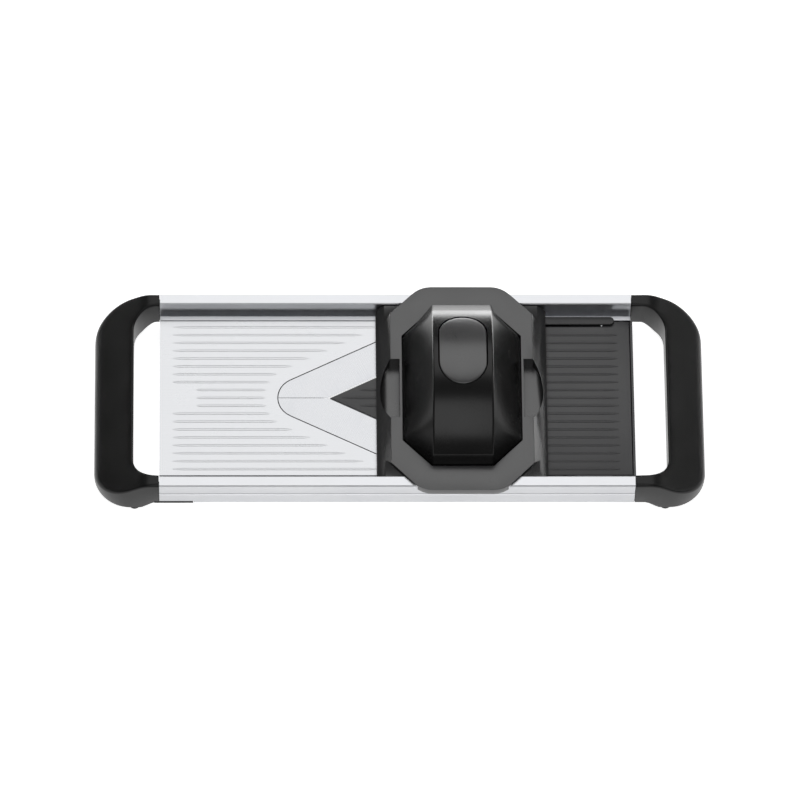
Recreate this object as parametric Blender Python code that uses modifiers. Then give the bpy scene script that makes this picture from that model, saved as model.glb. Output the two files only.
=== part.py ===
"""Mandoline slicer: a V blade between grooved rails, a hinged feed plate and a sliding food holder.

Metres. X runs along the rails from the landing plate to the feed plate, Y to the rear rail, Z up.
The origin is on the table, at the middle of the footprint.
"""
import math

import bmesh
import bpy
from mathutils import Matrix, Vector

# ---- driving dimensions ------------------------------------------------------------------------
GAP = 0.0003            # between pieces that touch

RAIL_LEFT = -0.1454
RAIL_RIGHT = 0.1413
RAIL_OUTER = 0.0660     # half width over the rails
RAIL_INNER = 0.0535
RAIL_TOP = 0.0310
RAIL_BOTTOM = 0.0092
GROOVE = (0.0562, 0.0590)   # the groove that the food holder's shoes run in
GROOVE_FLOOR = 0.0140
CHAMBER = (0.0608, 0.0642)  # the hollow inside each rail
CHAMBER_Z = (0.0160, 0.0280)
SHELF_Y = 0.0500
SHELF_Z = (0.0172, 0.0187)
SHELF_END = 0.0560      # the feed plate needs the shelf cut away from here on
SLOT_Y = 0.0575         # depth of the T slot low in each rail's inner face
SLOT_Z = (0.0102, 0.0123)

DECK = 0.0200           # top of the landing plate and of the blades
SHEET = 0.0010
PLATE_Y = 0.0528

EDGE_APEX = -0.0439     # where the two cutting edges meet
HALF_ANGLE = math.radians(26.7)
BLADE_WIDTH = 0.0207
BLADE_Y = 0.0525
BLADE_NOSE = 0.0134     # radius of the blades' rounded nose
SEAM = 0.0006

HANDLE_END = 0.1850
LEFT_GRIP = 0.1613      # inner faces of the two grips
RIGHT_GRIP = 0.1620
ARM_INNER = 0.0580
OUTER_CORNER = 0.0220
INNER_CORNER = 0.0140
HANDLE_BOTTOM = 0.0028
TONGUE_LENGTH = 0.0204
FOOT_X = 0.1605
FOOT_Y = 0.0620
FOOT_RADIUS = 0.0036

FEED_TOP = 0.0200
FEED_THICKNESS = 0.0022
FEED_RIGHT = 0.1405
FEED_GAP = 0.0008       # between the feed plate and the cutting edges, square to them
PIVOT_X = 0.1370
PIVOT_Z = 0.0160
PIN_RADIUS = 0.0020
NUB_X = 0.0840

BAR_X = (0.0710, 0.1312)
BAR_Y = (0.0498, 0.0552)
BAR_Z = (0.0203, 0.0217)
YOKE_X = (0.0800, 0.1060)
YOKE_BLOCK = (0.0840, 0.1235)   # the block under the bar, which also closes the margin's slot

HOLDER_X = 0.0375       # where the food holder stands at rest
HOLDER_BASE = 0.0517    # half lengths of its base and of its flat top
HOLDER_FLAT = 0.0431
HOLDER_Y = 0.0696
HOLDER_CHAMFER = 0.0270
HOLDER_CORNER = 0.0160
HOLDER_BOTTOM = 0.0224
HOLDER_TOP = 0.0330
SKIRT_Y = 0.0586
SKIRT_TOP = 0.0295
LIP_BOTTOM = 0.0276
FLOOR_RING = 0.0242
SLEEVE_X = 0.0210
SLEEVE_Y = 0.0360
SLEEVE_TOP = 0.0420
WALL = 0.0018

KNOB_X = 0.03575        # half sizes of the knob at the holder's top
KNOB_Y = 0.0527
KNOB_CHAMFER = 0.0174
KNOB_BOTTOM = 0.0246
KNOB_CREST = 0.0670
KNOB_STRIP = 0.0180     # half width of the strip along the crest
KNOB_WALL = 0.0024
ARCH_RADIUS = 0.0666
ARCH_Y = 0.0020
FRONT_SHOULDER = -0.0502    # where the arch starts at the front
REAR_FACET = (0.0420, 0.0506, 0.0450)   # a flat band from the arch down to (y, z)
RECESS_Y = 0.0198
RECESS_ARC = (0.0140, 0.0355)   # centre and radius of a finger recess's outer edge

BUTTON_X = 0.0145       # half width; its ends are half rounds
BUTTON_Y = (-0.0140, 0.0350)
BUTTON_BOTTOM = 0.0540
PLATFORM_Z = (0.0430, 0.0448)   # the shelf inside the knob that carries the button's spring
STEM_RADIUS = 0.0040
PIN_PLATE_Z = (0.0275, 0.0315)
EJECTOR_Z = (0.0252, 0.0272)

# Screw places: X at the left and right ends, or the pair of X along one side, and their Y.
HANDLE_SCREWS = (-0.1350, 0.1310)
HANDLE_SCREW_Y = 0.0625
BRACE_SCREWS = (-0.1370, 0.1340)
BRACE_SCREW_Y = 0.0556
CARRIER_SCREWS = (0.0120, 0.0380)
CARRIER_SCREW_Y = 0.0516
YOKE_SCREWS = (0.0890, 0.0990)
YOKE_SCREW_Y = 0.0515
# Places on the holder, from its own middle.
SHOE_PEGS = (-0.025, 0.025)
PLATE_SCREWS = [(x, y) for x in (-0.0125, 0.0125) for y in (-0.017, 0.017)]
FOOD_PINS = [(x, y) for x, reach in ((-0.006, 0.010), (0.006, 0.010), (-0.011, 0.028), (0.011, 0.028))
             for y in (-reach, reach)]

BLACK = (0.02, 0.02, 0.022, 1.0)
DARK = (0.05, 0.05, 0.052, 1.0)
STEEL = (0.72, 0.73, 0.74, 1.0)
ALUMINIUM = (0.80, 0.81, 0.82, 1.0)


# ---- scene and shape helpers -------------------------------------------------------------------
def empty_scene():
    for item in list(bpy.data.objects):
        bpy.data.objects.remove(item, do_unlink=True)


def collection(name):
    group = bpy.data.collections.new(name)
    bpy.context.scene.collection.children.link(group)
    return group


def finish(name, colour, roughness, metallic=0.0):
    material = bpy.data.materials.new(name)
    material.use_nodes = True
    shader = material.node_tree.nodes["Principled BSDF"]
    shader.inputs["Base Color"].default_value = colour
    shader.inputs["Roughness"].default_value = roughness
    shader.inputs["Metallic"].default_value = metallic
    return material


def place(name, mesh, look=None):
    """Puts a mesh into the scene: as a part when it has a look, otherwise as a cutter."""
    item = bpy.data.objects.new(name, mesh)
    if look is None:
        CUTTERS.objects.link(item)
        item.hide_render = True
        item.display_type = "WIRE"
    else:
        PARTS.objects.link(item)
        mesh.materials.append(finish(name, *look))
    return item


def box(name, low, high, look=None):
    solid = bmesh.new()
    bmesh.ops.create_cube(solid, size=1.0)
    size = [b - a for a, b in zip(low, high)]
    centre = [(a + b) / 2 for a, b in zip(low, high)]
    bmesh.ops.transform(solid, matrix=Matrix.Translation(centre) @ Matrix.Diagonal((*size, 1)),
                        verts=solid.verts)
    mesh = bpy.data.meshes.new(name)
    solid.to_mesh(mesh)
    solid.free()
    return place(name, mesh, look)


# An outline's own axes and its extrusion's direction, in the object's frame.
TURNS = {
    "Z": Matrix.Identity(4),
    "X": Matrix(((0, 0, 1, 0), (1, 0, 0, 0), (0, 1, 0, 0), (0, 0, 0, 1))),
    "Y": Matrix(((1, 0, 0, 0), (0, 0, -1, 0), (0, 1, 0, 0), (0, 0, 0, 1))),
}


def prism(name, outlines, low, high, along="Z", look=None):
    """Extrudes closed outlines: XY ones along Z, YZ ones along X, XZ ones along Y."""
    curve = bpy.data.curves.new(name, "CURVE")
    curve.dimensions = "2D"
    curve.fill_mode = "BOTH"
    curve.extrude = (high - low) / 2
    for outline in outlines:
        spline = curve.splines.new("POLY")
        spline.points.add(len(outline) - 1)
        for point, (a, b) in zip(spline.points, outline):
            point.co = (a, b, 0, 1)
        spline.use_cyclic_u = True
    guide = bpy.data.objects.new(name + "_outline", curve)
    bpy.context.scene.collection.objects.link(guide)
    graph = bpy.context.evaluated_depsgraph_get()
    mesh = bpy.data.meshes.new_from_object(guide.evaluated_get(graph))
    bpy.data.objects.remove(guide, do_unlink=True)
    middle = (low + high) / 2
    offset = Matrix.Translation((0, 0, -middle if along == "Y" else middle))
    solid = bmesh.new()
    solid.from_mesh(mesh)
    bmesh.ops.remove_doubles(solid, verts=solid.verts, dist=1e-6)
    bmesh.ops.transform(solid, matrix=TURNS[along] @ offset, verts=solid.verts)
    bmesh.ops.recalc_face_normals(solid, faces=solid.faces)
    solid.to_mesh(mesh)
    solid.free()
    return place(name, mesh, look)


def rod(name, centre, radius, low, high, along="Z", look=None, sides=20):
    """A round bar; centre holds the two coordinates across it."""
    ring = []
    for step in range(sides):
        turn = 2 * math.pi * step / sides
        ring.append((centre[0] + radius * math.cos(turn), centre[1] + radius * math.sin(turn)))
    item = prism(name, [ring], low, high, along, look)
    shade(item)
    return item


def turned(name, profile, centre, look=None, sides=20):
    """Turns a profile of (radius, z), given from the top down its outer side, about Z."""
    mesh = bpy.data.meshes.new(name)
    points = [(radius, 0, z) for radius, z in profile]
    mesh.from_pydata(points, [(i, i + 1) for i in range(len(points) - 1)], [])
    item = place(name, mesh, look)
    item.location = (centre[0], centre[1], 0)
    screw = item.modifiers.new("turn", "SCREW")
    screw.steps = sides
    screw.render_steps = sides
    screw.use_merge_vertices = True
    screw.merge_threshold = 0.00001
    return item


def shade(item):
    item.data.shade_smooth()
    item.data.set_sharp_from_angle(angle=math.radians(35))


def combine(piece, other, operation="DIFFERENCE"):
    step = piece.modifiers.new(other.name, "BOOLEAN")
    step.operation = operation
    step.object = other


def soften(piece, width, segments=2, angle=50):
    bevel = piece.modifiers.new("soften", "BEVEL")
    bevel.width = width
    bevel.segments = segments
    bevel.limit_method = "ANGLE"
    bevel.angle_limit = math.radians(angle)
    bevel.harden_normals = False


def rounded(corners, steps=5):
    """Replaces each (x, y, radius) corner of an outline with an arc."""
    outline = []
    for index, (x, y, radius) in enumerate(corners):
        if radius == 0:
            outline.append((x, y))
            continue
        corner = Vector((x, y))
        before = (Vector(corners[index - 1][:2]) - corner).normalized()
        after = (Vector(corners[(index + 1) % len(corners)][:2]) - corner).normalized()
        half = before.angle(after) / 2
        centre = corner + (before + after).normalized() * radius / math.sin(half)
        first = corner + before * radius / math.tan(half) - centre
        last = corner + after * radius / math.tan(half) - centre
        start = math.atan2(first.y, first.x)
        sweep = (math.atan2(last.y, last.x) - start + math.pi) % (2 * math.pi) - math.pi
        for step in range(steps + 1):
            turn = start + sweep * step / steps
            outline.append((centre.x + radius * math.cos(turn), centre.y + radius * math.sin(turn)))
    return outline


def rectangle(half_x, half_y, radius, centre=(0, 0)):
    signs = [(1, 1), (-1, 1), (-1, -1), (1, -1)]
    return rounded([(centre[0] + a * half_x, centre[1] + b * half_y, radius) for a, b in signs])


def octagon(half_x, half_y, chamfer, radius):
    corners = []
    for a, b, first in [(1, 1, "y"), (-1, 1, "x"), (-1, -1, "y"), (1, -1, "x")]:
        near_x = (a * half_x, b * (half_y - chamfer), radius)
        near_y = (a * (half_x - chamfer), b * half_y, radius)
        corners += [near_x, near_y] if first == "y" else [near_y, near_x]
    return rounded(corners, 4) if radius else [corner[:2] for corner in corners]


def shift(outline, x):
    return [(a + x, b) for a, b in outline]


# ---- rails -------------------------------------------------------------------------------------
def rail_section(side):
    """Outer line and chamber of a rail as (y, z), with the groove on top and the slot inside."""
    outer = [
        (RAIL_INNER, RAIL_BOTTOM), (0.0653, RAIL_BOTTOM), (RAIL_OUTER, 0.0099),
        (RAIL_OUTER, 0.0111), (0.0654, 0.0114), (RAIL_OUTER, 0.0117),
        (RAIL_OUTER, 0.0194), (0.0655, 0.0197), (0.0655, 0.0279),
        (0.0650, 0.0283), (0.0650, 0.0290), (RAIL_OUTER, 0.0293),
        (RAIL_OUTER, 0.0304), (0.0654, RAIL_TOP), (0.0596, RAIL_TOP), (GROOVE[1], 0.0304),
        (GROOVE[1], GROOVE_FLOOR), (GROOVE[0], GROOVE_FLOOR), (GROOVE[0], DECK),
        (RAIL_INNER, DECK), (RAIL_INNER, SHELF_Z[1]), (SHELF_Y, SHELF_Z[1]),
        (SHELF_Y, SHELF_Z[0]), (RAIL_INNER, SHELF_Z[0]), (RAIL_INNER, SLOT_Z[1]),
        (SLOT_Y, SLOT_Z[1]), (SLOT_Y, SLOT_Z[0]), (RAIL_INNER, SLOT_Z[0]),
    ]
    chamber = [(y, z) for y, z in zip((CHAMBER[0], CHAMBER[1], CHAMBER[1], CHAMBER[0]),
                                      (CHAMBER_Z[0], CHAMBER_Z[0], CHAMBER_Z[1], CHAMBER_Z[1]))]
    return [[(side * y, z) for y, z in line] for line in (outer, chamber)]


def side_box(name, side, x, y, z, look=None):
    """A box beside the rails: y is given for the rear side and mirrored for the front one."""
    low, high = sorted((side * y[0], side * y[1]))
    return box(name, (x[0], low, z[0]), (x[1], high, z[1]), look)


def rail(name, side):
    item = prism(name, rail_section(side), RAIL_LEFT, RAIL_RIGHT, "X", (ALUMINIUM, 0.3, 1.0))
    past = 0.002
    shelf = side_box(name + "_shelf_cut", side, (SHELF_END, RAIL_RIGHT + past),
                     (SHELF_Y - past, RAIL_INNER), (SHELF_Z[0] - GAP, SHELF_Z[1] + 0.0002))
    combine(item, shelf)
    notch_top = RAIL_BOTTOM + 0.0021
    left = side_box(name + "_left_notch", side, (RAIL_LEFT - past, RAIL_LEFT + TONGUE_LENGTH + GAP),
                    (0.0592, RAIL_OUTER + past), (RAIL_BOTTOM - past, notch_top))
    right = side_box(name + "_right_notch", side,
                     (RAIL_RIGHT - TONGUE_LENGTH - GAP, RAIL_RIGHT + past),
                     (0.0592, 0.0652), (RAIL_BOTTOM - past, notch_top))
    combine(item, left)
    combine(item, right)
    holes = [(x, HANDLE_SCREW_Y, 0.0150) for x in HANDLE_SCREWS]
    holes += [(x, BRACE_SCREW_Y, 0.0105) for x in BRACE_SCREWS]
    for number, (x, y, top) in enumerate(holes):
        hole = rod(f"{name}_hole_{number}", (x, side * y), 0.0015, RAIL_BOTTOM - past, top, sides=12)
        combine(item, hole)
    for number, x in enumerate(CARRIER_SCREWS):
        hole = rod(f"{name}_shelf_hole_{number}", (x, side * CARRIER_SCREW_Y), 0.0013,
                   SHELF_Z[0] - past, SHELF_Z[1] + 0.0002, sides=12)
        combine(item, hole)
    low, high = sorted((side * (RAIL_INNER - past), side * 0.0558))
    combine(item, rod(name + "_pin_hole", (PIVOT_X, PIVOT_Z), PIN_RADIUS + GAP, low, high, "Y"))
    return item


# ---- handles, feet and their screws ------------------------------------------------------------
def handle(name, side, rail_end, grip):
    """A D loop: its plan and its side view, both extruded, meet in the solid."""
    start = rail_end + GAP
    view = [
        (start, RAIL_TOP, 0), (0.1540, RAIL_TOP, 0.0140), (HANDLE_END, 0.0100, 0.0070),
        (HANDLE_END, 0.0030, 0.0015), (0.1655, 0.0030, 0), (0.1645, HANDLE_BOTTOM, 0),
        (0.1565, HANDLE_BOTTOM, 0.0020), (0.1490, RAIL_BOTTOM, 0.0030), (start, RAIL_BOTTOM, 0),
    ]
    view = [(side * x, z) for x, z in rounded(view)]
    item = prism(name, [view], -RAIL_OUTER, RAIL_OUTER, "Y", (BLACK, 0.35))
    past = 0.004
    plan = [
        (start - past, RAIL_OUTER, 0), (HANDLE_END, RAIL_OUTER, OUTER_CORNER),
        (HANDLE_END, -RAIL_OUTER, OUTER_CORNER), (start - past, -RAIL_OUTER, 0),
        (start - past, -ARM_INNER, 0), (grip, -ARM_INNER, INNER_CORNER),
        (grip, ARM_INNER, INNER_CORNER), (start - past, ARM_INNER, 0),
    ]
    plan = [(side * x, y) for x, y in rounded(plan, 7)]
    combine(item, prism(name + "_plan", [plan], -past, RAIL_TOP + past), "INTERSECT")
    soften(item, 0.0014)
    screw_x = HANDLE_SCREWS[0] if side < 0 else HANDLE_SCREWS[1]
    for end in (1, -1):
        where = "rear" if end > 0 else "front"
        reach = sorted((side * (rail_end - TONGUE_LENGTH), side * (start + 0.003)))
        tongue_y = (0.0595, RAIL_OUTER) if side < 0 else (0.0595, 0.0649)
        tongue = side_box(f"{name}_{where}_tongue", end, reach, tongue_y,
                          (RAIL_BOTTOM, RAIL_BOTTOM + WALL))
        spigot = side_box(f"{name}_{where}_spigot", end, reach,
                          (CHAMBER[0] + GAP, CHAMBER[1] - GAP),
                          (CHAMBER_Z[0] + GAP, CHAMBER_Z[1] - GAP))
        hole = rod(f"{name}_{where}_hole", (screw_x, end * HANDLE_SCREW_Y), 0.0015, 0.008, 0.0125, sides=12)
        socket = rod(f"{name}_{where}_foot_hole", (side * FOOT_X, end * FOOT_Y), 0.0018,
                     0.001, 0.0064, sides=12)
        combine(item, tongue, "UNION")
        combine(item, spigot, "UNION")
        combine(item, hole)
        combine(item, socket)
    shade(item)
    return item


def screw(name, x, y, head_bottom, head_top, head, shank, tip, look=(STEEL, 0.3, 1.0)):
    """A screw that points up: a flat round head below its shank."""
    profile = [(0, tip), (shank * 0.5, tip), (shank, tip - shank * 0.5), (shank, head_top),
               (head, head_top), (head, head_bottom + 0.0003), (head - 0.0003, head_bottom),
               (0, head_bottom)]
    item = turned(name, profile, (x, y), look, 16)
    shade(item)
    return item


def foot(name, x, y):
    profile = [(0, 0.0060), (0.0012, 0.0060), (0.0015, 0.0054), (0.0015, 0.0025),
               (FOOT_RADIUS, 0.0025), (FOOT_RADIUS, 0.0006), (FOOT_RADIUS - 0.0006, 0), (0, 0)]
    item = turned(name, profile, (x, y), (BLACK, 0.8), 20)
    shade(item)
    return item


# ---- landing plate, blades, carrier and braces -------------------------------------------------
def v_line(offset, reach, nose):
    """A line parallel to both cutting edges, offset outwards, round at its nose, rear end first."""
    sine = math.sin(HALF_ANGLE)
    apex = EDGE_APEX - offset / sine
    ends = [(apex + reach / math.tan(HALF_ANGLE), side * reach) for side in (1, -1)]
    if nose == 0:
        return [ends[0], (apex, 0), ends[1]]
    centre = apex + nose / sine
    arc = []
    steps = 12
    for step in range(steps + 1):
        turn = math.pi / 2 + HALF_ANGLE + (math.pi - 2 * HALF_ANGLE) * step / steps
        arc.append((centre + nose * math.cos(turn), nose * math.sin(turn)))
    return [ends[0]] + arc + [ends[1]]


def landing_plate():
    seam = v_line(BLADE_WIDTH + SEAM, PLATE_Y, BLADE_NOSE + SEAM)
    outline = [(RAIL_LEFT, PLATE_Y)] + seam + [(RAIL_LEFT, -PLATE_Y)]
    item = prism("landing_plate", [outline], DECK - SHEET, DECK, look=(STEEL, 0.35, 1.0))
    fold = box("landing_plate_fold", (RAIL_LEFT, -0.0495, DECK - 0.0065),
               (RAIL_LEFT + SHEET, 0.0495, DECK - SHEET / 2))
    combine(item, fold, "UNION")
    return item


def blade(name, side):
    outer = [(x, side * y) for x, y in v_line(BLADE_WIDTH, BLADE_Y, BLADE_NOSE) if y > SEAM]
    half = SEAM / 4
    nose_x = EDGE_APEX - BLADE_WIDTH / math.sin(HALF_ANGLE) + BLADE_NOSE / math.sin(HALF_ANGLE)
    outer.append((nose_x - BLADE_NOSE, side * half))
    edge_end = EDGE_APEX + BLADE_Y / math.tan(HALF_ANGLE)
    inner = [(EDGE_APEX + half / math.tan(HALF_ANGLE), side * half), (edge_end, side * BLADE_Y)]
    item = prism(name, [outer + inner], DECK - SHEET, DECK, look=(STEEL, 0.25, 1.0))
    grind_width = 0.004
    edge_z = DECK - 0.00015
    fall = (edge_z - (DECK - SHEET)) / grind_width
    grind = [(-0.001, edge_z + 0.001 * fall), (0.005, edge_z - 0.005 * fall),
             (0.005, DECK - 0.002), (-0.001, DECK - 0.002)]
    cutter = prism(name + "_grind", [[(side * a, z) for a, z in grind]], -0.010, 0.130, "X")
    cutter.rotation_euler.z = side * HALF_ANGLE
    cutter.location.x = EDGE_APEX
    combine(item, cutter)
    return item


def blade_carrier():
    """A V under the blades and the plate's edge, held up against the rails' shelves."""
    reach = RAIL_INNER - GAP
    outer = v_line(0.026, reach, 0.018)
    inner = v_line(0.004, reach, 0)
    item = prism("blade_carrier", [outer + inner[::-1]], 0.0132, SHELF_Z[1], look=(DARK, 0.6))
    for side, where in ((1, "rear"), (-1, "front")):
        step = side_box(f"carrier_{where}_step", side, (-0.09, 0.07), (SHELF_Y - GAP, 0.056),
                        (SHELF_Z[0] - GAP, DECK))
        combine(item, step)
        for number, x in enumerate(CARRIER_SCREWS):
            hole = rod(f"carrier_{where}_hole_{number}", (x, side * CARRIER_SCREW_Y), 0.0013,
                       0.012, DECK, sides=12)
            combine(item, hole)
    return item


def cross_brace(name, x, top, lip=None):
    """A bar between the rails with a tongue at each end in the rails' slots."""
    reach = RAIL_INNER - GAP
    bottom = SLOT_Z[0] + GAP
    item = box(name, (x[0], -reach, bottom), (x[1], reach, top), (DARK, 0.6))
    tongue = box(name + "_tongues", (x[0], GAP - SLOT_Y, bottom),
                 (min(x[1], RAIL_RIGHT - 0.001), SLOT_Y - GAP, SLOT_Z[1] - GAP))
    combine(item, tongue, "UNION")
    if lip:
        wall = box(name + "_lip", (x[1] - 0.0014, -reach, bottom), (x[1], reach, lip))
        combine(item, wall, "UNION")
    screw_x = BRACE_SCREWS[0] if x[0] < 0 else BRACE_SCREWS[1]
    for side in (1, -1):
        hole = rod(f"{name}_hole_{side}", (screw_x, side * BRACE_SCREW_Y), 0.0013, 0.009, 0.014, sides=12)
        combine(item, hole)
    return item


# ---- feed plate and thickness slide ------------------------------------------------------------
def feed_plate():
    line = v_line(-FEED_GAP, PLATE_Y, 0)
    notch_y = BAR_Y[0] - 0.0005
    notch_left = line[1][0] + notch_y / math.tan(HALF_ANGLE)
    outline = [line[1], line[2], (FEED_RIGHT, -PLATE_Y), (FEED_RIGHT, PLATE_Y), (0.124, PLATE_Y),
               (0.124, notch_y), (notch_left, notch_y)]
    bottom = FEED_TOP - FEED_THICKNESS
    item = prism("feed_plate", [outline], bottom, FEED_TOP, look=(BLACK, 0.5))
    for side in (1, -1):
        nub = rod(f"feed_plate_nub_{side}", (NUB_X, side * 0.030), 0.003, 0.0145, FEED_TOP - 0.001)
        combine(item, nub, "UNION")
        low, high = sorted((side * 0.012, side * 0.050))
        knuckle = rod(f"feed_plate_knuckle_{side}", (PIVOT_X, PIVOT_Z), 0.0032, low, high, "Y")
        combine(item, knuckle, "UNION")
    bore = rod("feed_plate_bore", (PIVOT_X, PIVOT_Z), PIN_RADIUS + GAP, -0.055, 0.055, "Y")
    combine(item, bore)
    return item


def thickness_bar():
    """The finger bar on the rear margin, with a web down to the yoke."""
    middle = (BAR_Y[0] + BAR_Y[1]) / 2
    half = (BAR_Y[1] - BAR_Y[0]) / 2
    outline = rectangle((BAR_X[1] - BAR_X[0]) / 2, half, half - 0.0001,
                        ((BAR_X[0] + BAR_X[1]) / 2, middle))
    item = prism("thickness_bar", [outline], *BAR_Z, look=(BLACK, 0.35))
    web = box("thickness_bar_web", (0.084, BAR_Y[0] + 0.0002, 0.0150), (0.104, 0.0530, 0.0210))
    combine(item, web, "UNION")
    for number, x in enumerate(YOKE_SCREWS):
        hole = rod(f"thickness_bar_hole_{number}", (x, YOKE_SCREW_Y), 0.0011, 0.014, 0.0192, sides=12)
        combine(item, hole)
    return item


def cam_yoke():
    """A wedge across the frame that the feed plate's nubs rest on, lower towards its right end."""
    reach = RAIL_INNER - GAP
    section = [(YOKE_X[0], 0.0098), (YOKE_X[1], 0.0098), (YOKE_X[1], 0.0116), (YOKE_X[0], 0.0142)]
    item = prism("cam_yoke", [section], -reach, reach, "Y", (DARK, 0.5))
    tongue = box("cam_yoke_tongues", (YOKE_X[0], GAP - SLOT_Y, SLOT_Z[0] + GAP),
                 (YOKE_X[1], SLOT_Y - GAP, SLOT_Z[1] - GAP))
    block = box("cam_yoke_block", (YOKE_BLOCK[0], 0.0480, 0.0100), (YOKE_BLOCK[1], 0.0530, 0.0147))
    combine(item, tongue, "UNION")
    combine(item, block, "UNION")
    for number, x in enumerate(YOKE_SCREWS):
        hole = rod(f"cam_yoke_hole_{number}", (x, YOKE_SCREW_Y), 0.0011, 0.009, 0.016, sides=12)
        combine(item, hole)
    return item


# ---- food holder -------------------------------------------------------------------------------
def holder_slopes():
    """The holder's side view: upright at the base, then leaning in to the flat top."""
    upright = HOLDER_BOTTOM + 0.002
    past = 0.002
    lean = (HOLDER_BASE - HOLDER_FLAT) / (HOLDER_TOP - upright)
    half = [(HOLDER_BASE, HOLDER_BOTTOM - past), (HOLDER_BASE, upright),
            (HOLDER_FLAT - lean * past, HOLDER_TOP + past)]
    view = half + [(-x, z) for x, z in half[::-1]]
    return prism("holder_slopes", [shift(view, HOLDER_X)], -HOLDER_Y - past, HOLDER_Y + past, "Y")


def finger_recess():
    """The plan of a finger recess: straight beside the knob, with an arc towards the outside."""
    centre, radius = RECESS_ARC
    sweep = math.asin(RECESS_Y / radius)
    inner = KNOB_X + 0.0019
    steps = 8
    arc = []
    for step in range(steps + 1):
        turn = sweep * (2 * step / steps - 1)
        arc.append((centre + radius * math.cos(turn), radius * math.sin(turn)))
    return [(inner, -RECESS_Y)] + arc + [(inner, RECESS_Y)]


def carriage_shell():
    past = 0.001
    plan = octagon(HOLDER_BASE + past, HOLDER_Y, HOLDER_CHAMFER + past, HOLDER_CORNER)
    item = prism("carriage_shell", [shift(plan, HOLDER_X)], LIP_BOTTOM, HOLDER_TOP,
                 look=(BLACK, 0.45))
    skirt = rectangle(HOLDER_BASE + past, SKIRT_Y, 0.004, (HOLDER_X, 0))
    combine(item, prism("skirt", [skirt], HOLDER_BOTTOM, SKIRT_TOP), "UNION")
    combine(item, holder_slopes(), "INTERSECT")
    reach = (HOLDER_X - 0.056, HOLDER_X + 0.056)
    for side, where in ((1, "rear"), (-1, "front")):
        channel = side_box(f"{where}_channel", side, reach, (SKIRT_Y, RAIL_OUTER + 0.0004),
                           (0.020, RAIL_TOP + GAP))
        combine(item, channel)
        for number, x in enumerate(SHOE_PEGS):
            slot = side_box(f"{where}_shoe_slot_{number}", side,
                            (HOLDER_X + x - 0.0033, HOLDER_X + x + 0.0033), (0.0557, 0.0579),
                            (0.020, 0.0265))
            combine(item, slot)
    well = octagon(KNOB_X + 0.0004, KNOB_Y + 0.0004, KNOB_CHAMFER, 0)
    combine(item, prism("knob_well", [shift(well, HOLDER_X)], FLOOR_RING, HOLDER_TOP + 0.002))
    sleeve = rectangle(SLEEVE_X, SLEEVE_Y, 0.006, (HOLDER_X, 0))
    combine(item, prism("sleeve", [sleeve], HOLDER_BOTTOM + 0.0002, SLEEVE_TOP), "UNION")
    inside = rectangle(SLEEVE_X - WALL, SLEEVE_Y - WALL, 0.0045, (HOLDER_X, 0))
    combine(item, prism("sleeve_inside", [inside], 0.020, SLEEVE_TOP + 0.002))
    for side, where in ((-1, "left"), (1, "right")):
        outline = [(HOLDER_X + side * x, y) for x, y in finger_recess()]
        recess = prism(f"{where}_finger_recess", [outline], FLOOR_RING, HOLDER_TOP + 0.002)
        combine(item, recess)
        for end in (1, -1):
            low, high = sorted((HOLDER_X + side * 0.0385, HOLDER_X + side * 0.0450))
            near, far = sorted((end * 0.0225, end * 0.0480))
            pocket = box(f"{where}_pocket_{end}", (low, near, 0.020), (high, far, 0.0288))
            combine(item, pocket)
    return item


def guide_shoe(name, side):
    """A fin that runs in a rail's groove, with a wider foot and two pegs into the carriage."""
    reach = (HOLDER_X - 0.040, HOLDER_X + 0.040)
    item = side_box(name, side, reach, (0.0566, 0.0586), (0.0150, 0.0221), (BLACK, 0.6))
    for number, x in enumerate(SHOE_PEGS):
        peg = side_box(f"{name}_peg_{number}", side, (HOLDER_X + x - 0.003, HOLDER_X + x + 0.003),
                       (0.0560, 0.0576), (0.0206, 0.0262))
        combine(item, peg, "UNION")
    return item


# ---- pusher and eject button -------------------------------------------------------------------
def arch_height(y, inset):
    radius = ARCH_RADIUS - inset
    return KNOB_CREST - ARCH_RADIUS + math.sqrt(radius ** 2 - (y - ARCH_Y) ** 2)


def knob_profile(inset):
    """The knob's side view as (y, z): steep ends, an arch and a flat facet at the rear."""
    steps = 14
    start = FRONT_SHOULDER + inset
    end = REAR_FACET[0]
    profile = [(inset - KNOB_Y, HOLDER_TOP)]
    for step in range(steps + 1):
        y = start + (end - start) * step / steps
        profile.append((y, arch_height(y, inset)))
    profile += [(REAR_FACET[1] - inset, REAR_FACET[2] - inset / 3), (KNOB_Y - inset, HOLDER_TOP)]
    return profile


def knob_form(name, inset, bottom, look=None):
    """Lofts trapezoids along the side view: a strip on top that widens to the octagonal rim."""
    stations = [(inset - KNOB_Y, bottom)] + knob_profile(inset) + [(KNOB_Y - inset, bottom)]
    diagonal = KNOB_X + KNOB_Y - KNOB_CHAMFER - inset * math.sqrt(2)
    solid = bmesh.new()
    rows = []
    for y, z in stations:
        wide = min(KNOB_X - inset, diagonal - abs(y))
        strip = min(KNOB_STRIP - inset * 0.7, wide)
        rim = min(HOLDER_TOP, z)
        right = [(wide, bottom), (wide, rim), (strip, z)]
        section = [(-x, height) for x, height in right] + right[::-1]
        rows.append([solid.verts.new((HOLDER_X + x, y, height)) for x, height in section])
    for near, far in zip(rows, rows[1:]):
        for k in range(len(near) - 1):
            solid.faces.new((near[k], near[k + 1], far[k + 1], far[k]))
    lid = [row[0] for row in rows] + rows[-1][1:-1] + [row[-1] for row in rows[::-1]]
    solid.faces.new(lid + rows[0][-2:0:-1])
    bmesh.ops.remove_doubles(solid, verts=solid.verts, dist=1e-6)
    bmesh.ops.recalc_face_normals(solid, faces=solid.faces)
    mesh = bpy.data.meshes.new(name)
    solid.to_mesh(mesh)
    solid.free()
    return place(name, mesh, look)


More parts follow.
